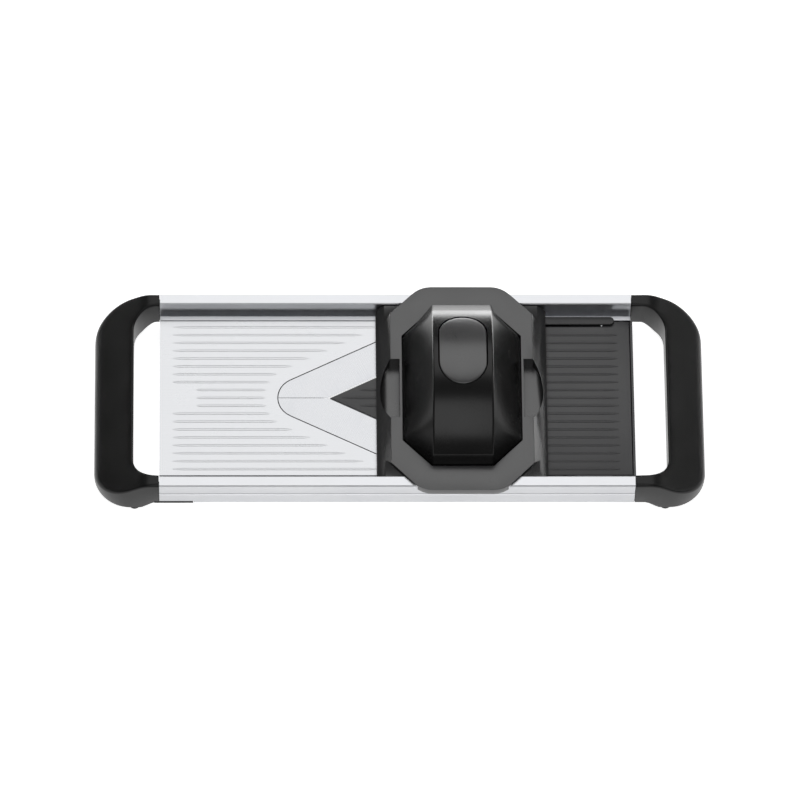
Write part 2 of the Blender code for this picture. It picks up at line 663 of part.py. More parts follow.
def button_outline(extra):
    middle = (BUTTON_Y[0] + BUTTON_Y[1]) / 2
    half_y = (BUTTON_Y[1] - BUTTON_Y[0]) / 2
    half_x = BUTTON_X + extra
    return rectangle(half_x, half_y + extra, half_x - 0.0001, (HOLDER_X, middle))


def arch_block(name, drop, bottom):
    """The solid under the knob's crest, lowered by a little, which gives the button its top."""
    steps = 16
    span = 0.042
    arch = []
    for step in range(steps + 1):
        y = span - 2 * span * step / steps
        arch.append((y, arch_height(y, drop)))
    return prism(name, [[(-span, bottom), (span, bottom)] + arch], -0.02, 0.10, "X")


def pusher_dome():
    item = knob_form("pusher_dome", 0, KNOB_BOTTOM, (BLACK, 0.3))
    combine(item, knob_form("dome_inside", KNOB_WALL, KNOB_BOTTOM - 0.002))
    combine(item, prism("button_hole", [button_outline(0.0005)], BUTTON_BOTTOM - 0.004, 0.075))
    platform = box("spring_platform", (HOLDER_X - 0.0275, -0.0220, PLATFORM_Z[0]),
                   (HOLDER_X + 0.0275, 0.0260, PLATFORM_Z[1]))
    combine(item, platform, "UNION")
    combine(item, rod("platform_hole", (HOLDER_X, 0), STEM_RADIUS + 0.0005, 0.040, 0.050))
    for number, (x, y) in enumerate(PLATE_SCREWS):
        centre = (HOLDER_X + x, y)
        boss = rod(f"dome_boss_{number}", centre, 0.0032, PIN_PLATE_Z[1] + GAP,
                   PLATFORM_Z[0] + 0.0009, sides=16)
        combine(item, boss, "UNION")
        hole = rod(f"dome_boss_hole_{number}", centre, 0.0013, 0.030, 0.0410, sides=12)
        combine(item, hole)
    return item


def pin_plate():
    outline = rectangle(SLEEVE_X - WALL - 0.0004, SLEEVE_Y - WALL - 0.0004, 0.0045, (HOLDER_X, 0))
    item = prism("pin_plate", [outline], *PIN_PLATE_Z, look=(DARK, 0.5))
    combine(item, rod("stem_hole", (HOLDER_X, 0), STEM_RADIUS + 0.0005, 0.026, 0.034))
    for number, (x, y) in enumerate(PLATE_SCREWS):
        centre = (HOLDER_X + x, y)
        combine(item, rod(f"plate_screw_seat_{number}", centre, 0.0029, 0.026, 0.0297, sides=16))
        combine(item, rod(f"plate_screw_hole_{number}", centre, 0.0013, 0.029, 0.034, sides=12))
    for number, (x, y) in enumerate(FOOD_PINS):
        combine(item, rod(f"pin_hole_{number}", (HOLDER_X + x, y), 0.0013, 0.026, 0.034, sides=12))
    return item


def food_pin(name, x, y):
    profile = [(0, 0.0310), (0.0008, 0.0310), (0.0010, 0.0308), (0.0010, 0.0240), (0, 0.0220)]
    item = turned(name, profile, (x, y), (STEEL, 0.25, 1.0), 10)
    shade(item)
    return item


def eject_button():
    item = prism("eject_button", [button_outline(0)], BUTTON_BOTTOM, 0.072, look=(DARK, 0.4))
    combine(item, arch_block("button_top", 0.0004, BUTTON_BOTTOM - 0.002), "INTERSECT")
    stem = rod("button_stem", (HOLDER_X, 0), STEM_RADIUS, EJECTOR_Z[1] + GAP, 0.0580)
    combine(item, stem, "UNION")
    combine(item, rod("stem_screw_hole", (HOLDER_X, 0), 0.0015, 0.026, 0.0380, sides=12))
    return item


def ejector_plate():
    outline = rectangle(SLEEVE_X - WALL - 0.0006, SLEEVE_Y - WALL - 0.0006, 0.0045, (HOLDER_X, 0))
    item = prism("ejector_plate", [outline], *EJECTOR_Z, look=(DARK, 0.5))
    combine(item, rod("ejector_screw_seat", (HOLDER_X, 0), 0.0033, 0.024, 0.0265, sides=16))
    combine(item, rod("ejector_screw_hole", (HOLDER_X, 0), 0.0015, 0.026, 0.028, sides=12))
    for number, (x, y) in enumerate(FOOD_PINS):
        hole = rod(f"ejector_pin_hole_{number}", (HOLDER_X + x, y), 0.0014, 0.024, 0.028, sides=12)
        combine(item, hole)
    return item


def button_spring():
    """A coil round the button's stem, from the knob's inner shelf up to the button."""
    wire = 0.0005
    low = PLATFORM_Z[1] + GAP + wire
    high = BUTTON_BOTTOM - GAP - wire
    turns = 4
    per_turn = 12
    curve = bpy.data.curves.new("button_spring", "CURVE")
    curve.dimensions = "3D"
    curve.bevel_depth = wire
    curve.bevel_resolution = 1
    curve.use_fill_caps = True
    spline = curve.splines.new("POLY")
    count = turns * per_turn + 1
    spline.points.add(count - 1)
    for index, point in enumerate(spline.points):
        turn = 2 * math.pi * index / per_turn
        rise = index / (count - 1)
        point.co = (0.0060 * math.cos(turn), 0.0060 * math.sin(turn), low + (high - low) * rise, 1)
    item = bpy.data.objects.new("button_spring", curve)
    item.location.x = HOLDER_X
    PARTS.objects.link(item)
    curve.materials.append(finish("button_spring", STEEL, 0.3, 1.0))
    return item


# ---- assembly ----------------------------------------------------------------------------------
def fastened(names, hub):
    """Parents pieces to an empty that stands on their joint's axis."""
    for name in names:
        bpy.data.objects[name].parent = hub
        bpy.data.objects[name].matrix_parent_inverse = hub.matrix_world.inverted()


def hub(name, location):
    item = bpy.data.objects.new(name, None)
    item.location = location
    PARTS.objects.link(item)
    bpy.context.view_layer.update()
    return item


def build_frame():
    rail("rear_rail", 1)
    rail("front_rail", -1)
    handle("left_handle", -1, -RAIL_LEFT, LEFT_GRIP)
    handle("right_handle", 1, RAIL_RIGHT, RIGHT_GRIP)
    landing_plate()
    blade("rear_blade", 1)
    blade("front_blade", -1)
    blade_carrier()
    cross_brace("left_cross_brace", (-0.143, -0.131), SHELF_Z[0] - GAP)
    cross_brace("right_cross_brace", (0.130, 0.1424), 0.0124, 0.0195)
    for end, where in ((1, "rear"), (-1, "front")):
        for x, hand in zip((-1, 1), ("left", "right")):
            index = 0 if x < 0 else 1
            foot(f"{hand}_{where}_foot", x * FOOT_X, end * FOOT_Y)
            screw(f"{hand}_{where}_handle_screw", HANDLE_SCREWS[index], end * HANDLE_SCREW_Y,
                  0.0074, 0.0089, 0.0024, 0.0012, 0.0145)
            screw(f"{hand}_{where}_brace_screw", BRACE_SCREWS[index], end * BRACE_SCREW_Y,
                  0.0075, 0.0089, 0.0021, 0.0010, 0.0119)
            screw(f"{hand}_{where}_carrier_screw", CARRIER_SCREWS[index], end * CARRIER_SCREW_Y,
                  0.0115, 0.0129, 0.0018, 0.0010, 0.0184)
    rod("pivot_pin", (PIVOT_X, PIVOT_Z), PIN_RADIUS, -0.0555, 0.0555, "Y", (STEEL, 0.3, 1.0))


def build_feed():
    feed_plate()
    fastened(["feed_plate"], hub("feed_plate_axis", (PIVOT_X, 0, PIVOT_Z)))
    thickness_bar()
    cam_yoke()
    names = ["thickness_bar", "cam_yoke"]
    for number, x in enumerate(YOKE_SCREWS, 1):
        names.append(f"yoke_screw_{number}")
        screw(names[-1], x, YOKE_SCREW_Y, 0.0082, 0.0095, 0.0018, 0.0008, 0.0188)
    fastened(names, hub("thickness_slide_axis", (sum(BAR_X) / 2, sum(BAR_Y) / 2, BAR_Z[0])))


def build_holder():
    carriage_shell()
    guide_shoe("rear_shoe", 1)
    guide_shoe("front_shoe", -1)
    carriage = hub("carriage_axis", (HOLDER_X, 0, HOLDER_BOTTOM))
    fastened(["carriage_shell", "rear_shoe", "front_shoe"], carriage)

    pusher_dome()
    pin_plate()
    button_spring()
    names = ["pusher_dome", "pin_plate", "button_spring"]
    for number, (x, y) in enumerate(FOOD_PINS, 1):
        names.append(f"food_pin_{number}")
        food_pin(names[-1], HOLDER_X + x, y)
    for number, (x, y) in enumerate(PLATE_SCREWS, 1):
        names.append(f"plate_screw_{number}")
        screw(names[-1], HOLDER_X + x, y, 0.0279, 0.0294, 0.0026, 0.0010, 0.0400)
    fastened(names, hub("pusher_axis", (HOLDER_X, 0, PIN_PLATE_Z[0])))

    eject_button()
    ejector_plate()
    screw("ejector_screw", HOLDER_X, 0, 0.0253, 0.0262, 0.0030, 0.0012, 0.0370)
    fastened(["eject_button", "ejector_plate", "ejector_screw"],
             hub("eject_button_axis", (HOLDER_X, 0, EJECTOR_Z[0])))


empty_scene()
PARTS = collection("mandoline_slicer")
CUTTERS = collection("cutters")
build_frame()
build_feed()
build_holder()
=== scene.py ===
# %% [markdown]
# # A V-blade mandoline, finished around its fixed frame
# The frame holds every solid at its real size and place. This lesson adds what the eye reads: soft
# moulded edges, pressed ribs, ground steel and the light. Lengths are in metres, and a factor of MM
# turns millimetres into them. Most places come from the frame's own boxes, so they follow it.

# %% Start from the frame
import math

import bmesh
import bpy
import numpy as np
from mathutils import Matrix, Vector


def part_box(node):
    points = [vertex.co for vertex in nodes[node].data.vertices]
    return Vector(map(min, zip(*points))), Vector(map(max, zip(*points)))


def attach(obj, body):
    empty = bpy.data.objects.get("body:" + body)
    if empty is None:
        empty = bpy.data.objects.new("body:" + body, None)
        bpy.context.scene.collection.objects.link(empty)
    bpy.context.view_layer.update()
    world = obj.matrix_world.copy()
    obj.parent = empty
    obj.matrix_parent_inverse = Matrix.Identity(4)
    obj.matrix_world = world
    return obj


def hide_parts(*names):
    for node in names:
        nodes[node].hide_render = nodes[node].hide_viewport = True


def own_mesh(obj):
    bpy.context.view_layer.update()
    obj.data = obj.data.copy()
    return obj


MM = 0.001
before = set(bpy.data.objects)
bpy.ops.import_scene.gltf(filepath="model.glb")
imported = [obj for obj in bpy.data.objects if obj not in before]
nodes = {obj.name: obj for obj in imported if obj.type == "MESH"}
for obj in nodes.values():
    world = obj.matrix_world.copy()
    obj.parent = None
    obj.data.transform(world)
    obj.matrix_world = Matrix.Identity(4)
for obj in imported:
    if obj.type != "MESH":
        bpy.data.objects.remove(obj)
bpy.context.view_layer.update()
rail_low, rail_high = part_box("rear_rail")
plate_low, plate_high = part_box("landing_plate")
shell_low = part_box("carriage_shell")[0]
dome_low, dome_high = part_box("pusher_dome")

# %% [markdown]
# ## The camera
# The slicer is seen from the front and high above, through a long lens from far away, so its
# parallel edges stay nearly parallel. The camera comes first, because everything is judged from it.

# %% Camera
VIEW_DISTANCE = 5.0
VIEW_ELEVATION = math.radians(62.0)
VIEW_AZIMUTH = math.radians(-2.5)
VIEW_ROLL = math.radians(2.2)
AIM = Vector((0.0, -0.0073, rail_high[2]))
camera_data = bpy.data.cameras.new("camera")
camera_data.lens = 372.0
camera_data.sensor_width = 36.0
camera_data.clip_end = 50.0
camera = bpy.data.objects.new("camera", camera_data)
bpy.context.scene.collection.objects.link(camera)
back = Vector((math.sin(VIEW_AZIMUTH) * math.cos(VIEW_ELEVATION),
               -math.cos(VIEW_AZIMUTH) * math.cos(VIEW_ELEVATION), math.sin(VIEW_ELEVATION)))
camera.location = AIM + back * VIEW_DISTANCE
aim_turn = (-back).to_track_quat("-Z", "Y").to_matrix().to_4x4()
camera.rotation_euler = (aim_turn @ Matrix.Rotation(VIEW_ROLL, 4, "Z")).to_euler()
bpy.context.scene.camera = camera
print("camera at", [round(v, 3) for v in camera.location])

# %% [markdown]
# ## Colour and node helpers
# Colours are written as the hex values a designer would pick, and one function turns them into the
# linear values that light works in. One helper adds a shader node with its settings and its links.

# %% Helpers for materials
def linear(code):
    """An sRGB hex colour as linear red, green, blue and alpha."""
    channels = [int(code[i:i + 2], 16) / 255 for i in (1, 3, 5)]
    bent = [c / 12.92 if c <= 0.04045 else ((c + 0.055) / 1.055) ** 2.4 for c in channels]
    return (*bent, 1.0)


def node(tree, kind, inputs=None, **settings):
    """Adds one node. An input takes a constant or another node's output socket."""
    item = tree.nodes.new(kind)
    for name, value in settings.items():
        setattr(item, name, value)
    for name, value in (inputs or {}).items():
        if isinstance(value, bpy.types.NodeSocket):
            tree.links.new(value, item.inputs[name])
        else:
            item.inputs[name].default_value = value
    return item


def aim_object(item, place, target):
    """Stands a light at a place, facing a target."""
    item.location = place
    item.rotation_euler = (Vector(target) - Vector(place)).to_track_quat("-Z", "Y").to_euler()


print("black plastic is", [round(c, 4) for c in linear("#101012")[:3]])

# %% [markdown]
# ## A white table and one big soft light
# The steel deck is a mirror for one direction: behind and above, at the camera's own angle. A wide
# softbox stands there, so flat metal and the flat tops of the plastic catch it, while slopes that
# face elsewhere see a darker room. That difference is what draws black plastic on white.

# %% Table
# The table glows a little and evenly under the object; behind it a painted glow rises far higher, like
# a lit sweep of white card, and the rear faces reflect it.
TABLE_SIZE = 6.0
TABLE_GLOW = (0.80, 12.0)    # under the object and behind it
GLOW_RISE = (0.12, 0.40)     # the Y over which the glow grows
half = TABLE_SIZE / 2
floor_mesh = bpy.data.meshes.new("floor")
floor_mesh.from_pydata([(-half, -half, 0), (half, -half, 0), (half, half, 0), (-half, half, 0)],
                       [], [(0, 1, 2, 3)])
floor_object = bpy.data.objects.new("floor", floor_mesh)
bpy.context.scene.collection.objects.link(floor_object)
floor_material = bpy.data.materials.new("glowing_white_table")
floor_material.use_nodes = True
tree = floor_material.node_tree
shader = tree.nodes["Principled BSDF"]
shader.inputs["Base Color"].default_value = linear("#F4F4F4")
shader.inputs["Roughness"].default_value = 0.9
shader.inputs["Specular IOR Level"].default_value = 0.1
shader.inputs["Emission Color"].default_value = (1, 1, 1, 1)
where = node(tree, "ShaderNodeTexCoord")
across = node(tree, "ShaderNodeSeparateXYZ", {"Vector": where.outputs["Object"]})
sweep = node(tree, "ShaderNodeMapRange", {
    "Value": across.outputs["Y"], "From Min": GLOW_RISE[0], "From Max": GLOW_RISE[1],
    "To Min": TABLE_GLOW[0], "To Max": TABLE_GLOW[1]})
tree.links.new(sweep.outputs["Result"], shader.inputs["Emission Strength"])
floor_mesh.materials.append(floor_material)
print("table:", TABLE_SIZE, "m square")

# %% [markdown]
# Three soft lights do the rest. The key fills the mirror direction of the deck. The front one is
# mirrored by slopes that lean to the front, such as the near half of the knob's strip. A narrow one
# at the right is mirrored where the right handle's top starts to fall. They are area lights,
# because the size of a light sets how soft the edge of its reflection looks.

# %% Softboxes
def softbox(name, place, target, size, radiance):
    """A rectangular light whose face has one brightness, whatever its size."""
    data = bpy.data.lights.new(name, "AREA")
    data.shape = "RECTANGLE"
    data.size, data.size_y = size
    data.energy = math.pi * size[0] * size[1] * radiance
    item = bpy.data.objects.new(name, data)
    bpy.context.scene.collection.objects.link(item)
    aim_object(item, place, target)
    return item


CENTRE = (0.0, 0.0, 0.03)
softbox("key", (0.05, 0.80, 1.50), CENTRE, (1.7, 1.2), 1.60)
softbox("front_fill", (0.0, -1.05, 1.45), CENTRE, (0.8, 1.25), 2.0)
softbox("right_strip", (1.60, 0.30, 0.95), CENTRE, (0.35, 1.2), 2.2)

# %% [markdown]
# The room is white where the camera looks straight at it, but dim in reflections. A white room
# would wash the black plastic out, and a black one would turn steel black from low side views.

# %% Room
ROOM_IN_REFLECTIONS = 0.24
room = bpy.data.worlds.new("room")
room.use_nodes = True
bpy.context.scene.world = room
tree = room.node_tree
tree.nodes.clear()
path = node(tree, "ShaderNodeLightPath")
strength = node(tree, "ShaderNodeMapRange", {"Value": path.outputs["Is Camera Ray"],
                                              "To Min": ROOM_IN_REFLECTIONS, "To Max": 1.0})
glow = node(tree, "ShaderNodeBackground", {"Color": (1, 1, 1, 1),
                                            "Strength": strength.outputs["Result"]})
node(tree, "ShaderNodeOutputWorld", {"Surface": glow.outputs["Background"]})
bpy.context.scene.view_settings.view_transform = "Standard"
print("room at", ROOM_IN_REFLECTIONS, "in reflections")

# %% [markdown]
# ## Materials, each named for its process
# Real sheet steel shows long rolling streaks, ground steel shows cross grain, and moulded plastic
# shows a fine texture from the mould. Each finish is one noise that is stretched to the real grain,
# mixed between two close colours, which also moves the roughness and lifts the surface a little.

# %% One recipe for every surface
def surface(name, colours, roughness, grain, relief, metallic=0.0, turn=0.0, cloud=0.02, **extra):
    """A procedural finish. grain is the grain's size in metres along X, Y and Z, relief its depth.

    turn rotates the grain about Z, and cloud is the size of slow, faint changes of roughness."""
    material = bpy.data.materials.new(name)
    material.use_nodes = True
    tree = material.node_tree
    shader = tree.nodes["Principled BSDF"]
    shader.inputs["Metallic"].default_value = metallic
    for socket, value in extra.items():
        shader.inputs[socket.replace("_", " ")].default_value = value
    where = node(tree, "ShaderNodeTexCoord")
    turned = node(tree, "ShaderNodeMapping", {"Vector": where.outputs["Object"],
                                              "Rotation": (0, 0, turn)})
    fitted = node(tree, "ShaderNodeMapping", {"Vector": turned.outputs["Vector"],
                                              "Scale": tuple(1 / size for size in grain)})
    fine = node(tree, "ShaderNodeTexNoise", {"Vector": fitted.outputs["Vector"], "Scale": 1.0,
                                             "Detail": 3.0, "Roughness": 0.6})
    slow = node(tree, "ShaderNodeTexNoise", {"Vector": where.outputs["Object"],
                                             "Scale": 1 / cloud, "Detail": 2.0})
    both = node(tree, "ShaderNodeMath", {0: fine.outputs["Fac"], 1: slow.outputs["Fac"]},
                operation="ADD")
    share = node(tree, "ShaderNodeMapRange", {"Value": both.outputs["Value"],
                                              "From Min": 0.7, "From Max": 1.3})
    colour = node(tree, "ShaderNodeMix", {"Factor": share.outputs["Result"],
                                          "A": linear(colours[0]), "B": linear(colours[1])},
                  data_type="RGBA")
    rough = node(tree, "ShaderNodeMapRange", {"Value": share.outputs["Result"],
                                              "To Min": roughness[0], "To Max": roughness[1]})
    lift = node(tree, "ShaderNodeBump", {"Height": fine.outputs["Fac"], "Distance": relief,
                                         "Strength": 1.0})
    tree.links.new(colour.outputs["Result"], shader.inputs["Base Color"])
    tree.links.new(rough.outputs["Result"], shader.inputs["Roughness"])
    tree.links.new(lift.outputs["Normal"], shader.inputs["Normal"])
    return material


print("recipe ready")

# %% [markdown]
# Metals are told apart by their grain. Rolling and extrusion leave streaks along the part, grinding
# leaves them across it, and plating follows whatever was under it with an uneven polish.

# %% Metals
BLADE_TURN = 0.466    # radians between the X axis and a cutting edge
# Rolled stainless: pale, with faint long streaks that run from the landing end to the blades.
plate_steel = surface("satin_rolled_stainless_sheet", ("#B5B6B8", "#BEBFC1"), (0.26, 0.34),
                      (60 * MM, 0.35 * MM, 1 * MM), 0.0004 * MM, metallic=1.0)
# Ground blades: the streaks run out to the sides, square to the cutting edge.
blade_steel_rear = surface("ground_blade_stainless_rear", ("#AAABAE", "#B9BABC"), (0.20, 0.32),
                           (0.3 * MM, 40 * MM, 1 * MM), 0.0005 * MM, metallic=1.0, turn=-BLADE_TURN)
blade_steel_front = surface("ground_blade_stainless_front", ("#AAABAE", "#B9BABC"), (0.20, 0.32),
                            (0.3 * MM, 40 * MM, 1 * MM), 0.0005 * MM, metallic=1.0, turn=BLADE_TURN)
# Extruded and anodised: a soft silver with die lines along the whole length.
rail_aluminium = surface("extruded_anodised_aluminium", ("#BBBCBF", "#C4C5C7"), (0.28, 0.36),
                         (120 * MM, 0.25 * MM, 0.25 * MM), 0.0008 * MM, metallic=1.0)
# Plated steel: small bright parts with a slightly uneven polish.
bright_steel = surface("nickel_plated_steel", ("#B9BABC", "#D2D3D4"), (0.16, 0.26),
                       (0.8 * MM, 0.8 * MM, 0.8 * MM), 0.0010 * MM, metallic=1.0, cloud=0.004)
# Zinc screws: duller and bluer than the plated parts.
screw_zinc = surface("zinc_plated_screw_steel", ("#9EA1A6", "#C3C6C9"), (0.26, 0.40),
                     (0.6 * MM, 0.6 * MM, 0.6 * MM), 0.0015 * MM, metallic=1.0, cloud=0.003)
print("metals: 6")

# %% [markdown]
# All the plastic is black, so its polish does most to tell the parts apart. A fine grain, mostly
# about a third of a millimetre, stands for the mould's texture. The specular level sets how much
# light a flat top returns: high on the holder and the button, low on the handles and the knob.

# %% Plastics and rubber
# Handles: nearly black ABS from a spark-eroded mould, satin on every rounded edge.
handle_plastic = surface("satin_moulded_black_abs", ("#030303", "#060606"), (0.28, 0.36),
                         (0.35 * MM, 0.35 * MM, 0.35 * MM), 0.0014 * MM,
                         Specular_IOR_Level=0.25)
# Knob: the smoothest plastic, so that its crest takes a clear band of light.
knob_plastic = surface("polished_moulded_black_abs", ("#030303", "#060606"), (0.22, 0.28),
                       (0.8 * MM, 0.8 * MM, 0.8 * MM), 0.0010 * MM,
                       Specular_IOR_Level=0.28)
# Holder: a fine matt mould texture that scatters the softbox into an even dark grey, on a base lighter
# than the knob's and the handles'.
# That lighter base is painted light, standing in for the softbox light that the brim catches.
holder_plastic = surface("matt_black_abs_with_painted_light", ("#1A1A1B", "#1F1F20"), (0.27, 0.33),
                         (0.30 * MM, 0.30 * MM, 0.30 * MM), 0.0016 * MM,
                         Specular_IOR_Level=0.9)
# Button: the same resin and painted lighter base as the holder, a little smoother where a thumb
# polishes it.
button_plastic = surface("thumb_worn_black_abs_with_painted_light", ("#1A1A1B", "#1F1F20"), (0.27, 0.33),
                         (0.30 * MM, 0.30 * MM, 0.30 * MM), 0.0012 * MM,
                         Specular_IOR_Level=0.9)
# Feed plate: filled nylon, dry and matt, so food slides over its ribs.
feed_plastic = surface("matt_filled_black_nylon", ("#202022", "#262628"), (0.36, 0.44),
                       (0.40 * MM, 0.40 * MM, 0.40 * MM), 0.0020 * MM,
                       Specular_IOR_Level=0.65)
# Thickness bar: acetal, waxy and slightly lighter at its rubbed edges.
slide_plastic = surface("moulded_black_acetal", ("#151516", "#1E1E20"), (0.32, 0.42),
                        (0.5 * MM, 0.5 * MM, 0.5 * MM), 0.0020 * MM)
# Hidden parts: glass-filled nylon with a dry, swirled skin.
inner_plastic = surface("glass_filled_black_nylon", ("#161618", "#26262A"), (0.52, 0.66),
                        (1.2 * MM, 4.0 * MM, 1.2 * MM), 0.0060 * MM)
# Shoes: plain acetal that rubbing has made smoother.
shoe_plastic = surface("rubbed_black_acetal", ("#121214", "#1C1C1E"), (0.28, 0.40),
                       (8 * MM, 0.5 * MM, 0.5 * MM), 0.0020 * MM)
# Feet: soft rubber with a dusty bloom.
foot_rubber = surface("bloomed_black_rubber", ("#141414", "#222221"), (0.70, 0.85),
                      (0.5 * MM, 0.5 * MM, 0.5 * MM), 0.0100 * MM, cloud=0.004)
print("plastics and rubber: 9")

# %% [markdown]
# Solids that stay as they are in the frame only need a finish. Those that a finer piece stands for
# get theirs too, so that the plain frame reads the same way.

# %% Give each CAD node its finish
FINISHES = {
    plate_steel: ["landing_plate"],
    blade_steel_rear: ["rear_blade"],
    blade_steel_front: ["front_blade"],
    rail_aluminium: ["rear_rail", "front_rail"],
    bright_steel: ["pivot_pin", "button_spring"] + [f"food_pin_{k}" for k in range(1, 9)],
    inner_plastic: ["blade_carrier", "left_cross_brace", "cam_yoke", "pin_plate",
                    "ejector_plate"],
    shoe_plastic: ["rear_shoe", "front_shoe"],
    feed_plastic: ["feed_plate", "right_cross_brace"],
    foot_rubber: [f"{a}_{b}_foot" for a in ("left", "right") for b in ("rear", "front")],
    screw_zinc: [name for name in nodes if "screw" in name],
    handle_plastic: ["left_handle", "right_handle"],
    holder_plastic: ["carriage_shell"],
    knob_plastic: ["pusher_dome"],
    button_plastic: ["eject_button"],
    slide_plastic: ["thickness_bar"],
}


def dress(item, material):
    """One finish for the whole of a piece."""
    item.data.materials.clear()
    item.data.materials.append(material)


for material, names in FINISHES.items():
    for name in names:
        dress(nodes[name], material)
print("finished nodes:", sum(len(names) for names in FINISHES.values()), "of", len(nodes))

# %% [markdown]
# ## Shapes shared by several pieces
# A moulded part has no knife edges. Its corners are rolled over by half a millimetre to two, and
# that narrow curve is what catches the light. These helpers build smooth shells from sections and
# hand each finished piece to its body.

# %% Shape helpers
def bend(corners, steps=4):
    """An open line through (a, b, radius) corners. A corner with a radius gives steps + 1 points."""
    line = []
    for index, (a, b, radius) in enumerate(corners):
        corner = Vector((a, b))
        if radius == 0:
            line.append((a, b))
            continue
        back = Vector(corners[index - 1][:2]) - corner
        ahead = Vector(corners[index + 1][:2]) - corner
        straight = min(back.length, ahead.length) < 1e-6 or back.angle(ahead) > math.pi - 0.01
        if straight:
            line += [(a, b)] * (steps + 1)
            continue
        half = back.angle(ahead) / 2
        reach = min(radius / math.tan(half), 0.45 * min(back.length, ahead.length))
        radius = reach * math.tan(half)
        back.normalize()
        ahead.normalize()
        centre = corner + (back + ahead).normalized() * radius / math.sin(half)
        first = corner + back * reach - centre
        last = corner + ahead * reach - centre
        start = math.atan2(first.y, first.x)
        sweep = (math.atan2(last.y, last.x) - start + math.pi) % (2 * math.pi) - math.pi
        for step in range(steps + 1):
            turn = start + sweep * step / steps
            line.append((centre.x + radius * math.cos(turn), centre.y + radius * math.sin(turn)))
    return line


def soft_min(a, b, reach):
    """The smaller of two widths, with the kink between them eased over a short reach."""
    ease = max(reach - abs(a - b), 0) / reach
    return min(a, b) - ease * ease * reach / 4


def piece_from(solid, name, angle=38):
    """Turns a bmesh into a closed, outward facing piece, smooth below the given edge angle."""
    bmesh.ops.remove_doubles(solid, verts=solid.verts, dist=2e-6)
    bmesh.ops.recalc_face_normals(solid, faces=solid.faces)
    mesh = bpy.data.meshes.new(name)
    solid.to_mesh(mesh)
    solid.free()
    mesh.shade_smooth()
    mesh.set_sharp_from_angle(angle=math.radians(angle))
    item = bpy.data.objects.new(name, mesh)
    bpy.context.scene.collection.objects.link(item)
    return item


def stitch(solid, rows):
    """Faces between neighbouring rows of vertices."""
    for near, far in zip(rows, rows[1:]):
        for k in range(len(near) - 1):
            solid.faces.new((near[k], near[k + 1], far[k + 1], far[k]))


def band(solid, near, far):
    """Faces between two closed rings of vertices."""
    for k in range(len(near)):
        after = (k + 1) % len(near)
        solid.faces.new((near[k], near[after], far[after], far[k]))


def block(solid, size, centre):
    """Adds a closed box to a solid."""
    corners = bmesh.ops.create_cube(solid, size=1.0)["verts"]
    bmesh.ops.scale(solid, vec=size, verts=corners)
    bmesh.ops.translate(solid, vec=centre, verts=corners)


def hand_over(item, body, slot, material, *stands_for):
    """Gives a piece its finish and its body, and hides the CAD nodes that it stands for. The slot is
    not used.
    """
    dress(item, material)
    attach(item, body)
    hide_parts(*stands_for)
    print(item.name, "has", len(item.data.polygons), "faces")


print("helpers: bend, soft_min, piece_from, stitch, band, block, hand_over")

# %% [markdown]
# ## The pusher knob
# One moulded dome. A flat strip of constant width runs over an arch from front to rear, and the
# sides fall from it to an octagonal rim. It is lofted from sections along Y, an outer skin and an
# inner one joined at the bottom, so it is a real shell that can be seen from beneath.

# %% Knob form
HOLDER_X = (dome_low[0] + dome_high[0]) / 2
HOLDER_TOP = shell_low[2] + 10.6 * MM
KNOB_X = (dome_high[0] - dome_low[0]) / 2
KNOB_Y = (dome_high[1] - dome_low[1]) / 2
KNOB_CHAMFER = 17.4 * MM
KNOB_STRIP = 18.0 * MM
KNOB_WALL = 2.4 * MM
KNOB_BOTTOM = dome_low[2]
ARCH_RADIUS = 66.6 * MM
ARCH_Y = 2.0 * MM
ARCH_FRONT = -50.2 * MM
ARCH_REAR = 42.0 * MM
FACET_FOOT = (50.6 * MM, 45.0 * MM)


def arch_height(y, inset=0.0):
    return dome_high[2] - ARCH_RADIUS + math.sqrt((ARCH_RADIUS - inset) ** 2 - (y - ARCH_Y) ** 2)


def knob_rows(inset, bottom):
    """Sections from front to rear, each from the left hem over the strip to the right hem."""
    steps = 60
    front = ARCH_FRONT + inset
    profile = [(inset - KNOB_Y, HOLDER_TOP, 0), (front, arch_height(front, inset), 1.6 * MM)]
    for step in range(1, steps):
        y = front + (ARCH_REAR - front) * step / steps
        if y - front > 2.5 * MM and ARCH_REAR - y > 2.5 * MM:
            profile.append((y, arch_height(y, inset), 0))
    profile += [(ARCH_REAR, arch_height(ARCH_REAR, inset), 2.0 * MM),
                (FACET_FOOT[0] - inset, FACET_FOOT[1] - inset / 3, 1.6 * MM),
                (KNOB_Y - inset, HOLDER_TOP, 0)]
    diagonal = KNOB_X + KNOB_Y - KNOB_CHAMFER - inset * math.sqrt(2)
    rows = []
    for y, z in bend(profile, 5):
        wide = soft_min(KNOB_X - inset, diagonal - abs(y), 2.0 * MM)
        strip = min(KNOB_STRIP - inset * 0.7, wide)
        rim = min(HOLDER_TOP, z)
        half = [(wide, bottom, 0), (wide, rim, 0.5 * MM), (strip, z, 1.6 * MM)]
        section = bend([(-x, h, r) for x, h, r in half] + half[::-1])
        rows.append([(HOLDER_X + x, y, h) for x, h in section])
    hem = [[(x, y, bottom) for x, y, _ in row] for row in (rows[0], rows[-1])]
    return [hem[0]] + rows + [hem[1]]


def edge_of(rows):
    """The outer loop of a grid of vertices."""
    return (rows[0] + [row[-1] for row in rows[1:]] + rows[-1][-2::-1]
            + [row[0] for row in rows[-2:0:-1]])


print("knob half sizes:", round(KNOB_X / MM, 2), round(KNOB_Y / MM, 2), "mm")

# %% [markdown]
# The button and the hole around it share one outline: two straight runs closed by half circles.

# %% Button outline
button_low, button_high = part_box("eject_button")
BUTTON_X = (button_high[0] - button_low[0]) / 2
BUTTON_Y = (button_high[1] - button_low[1]) / 2
BUTTON_MIDDLE = (button_high[1] + button_low[1]) / 2


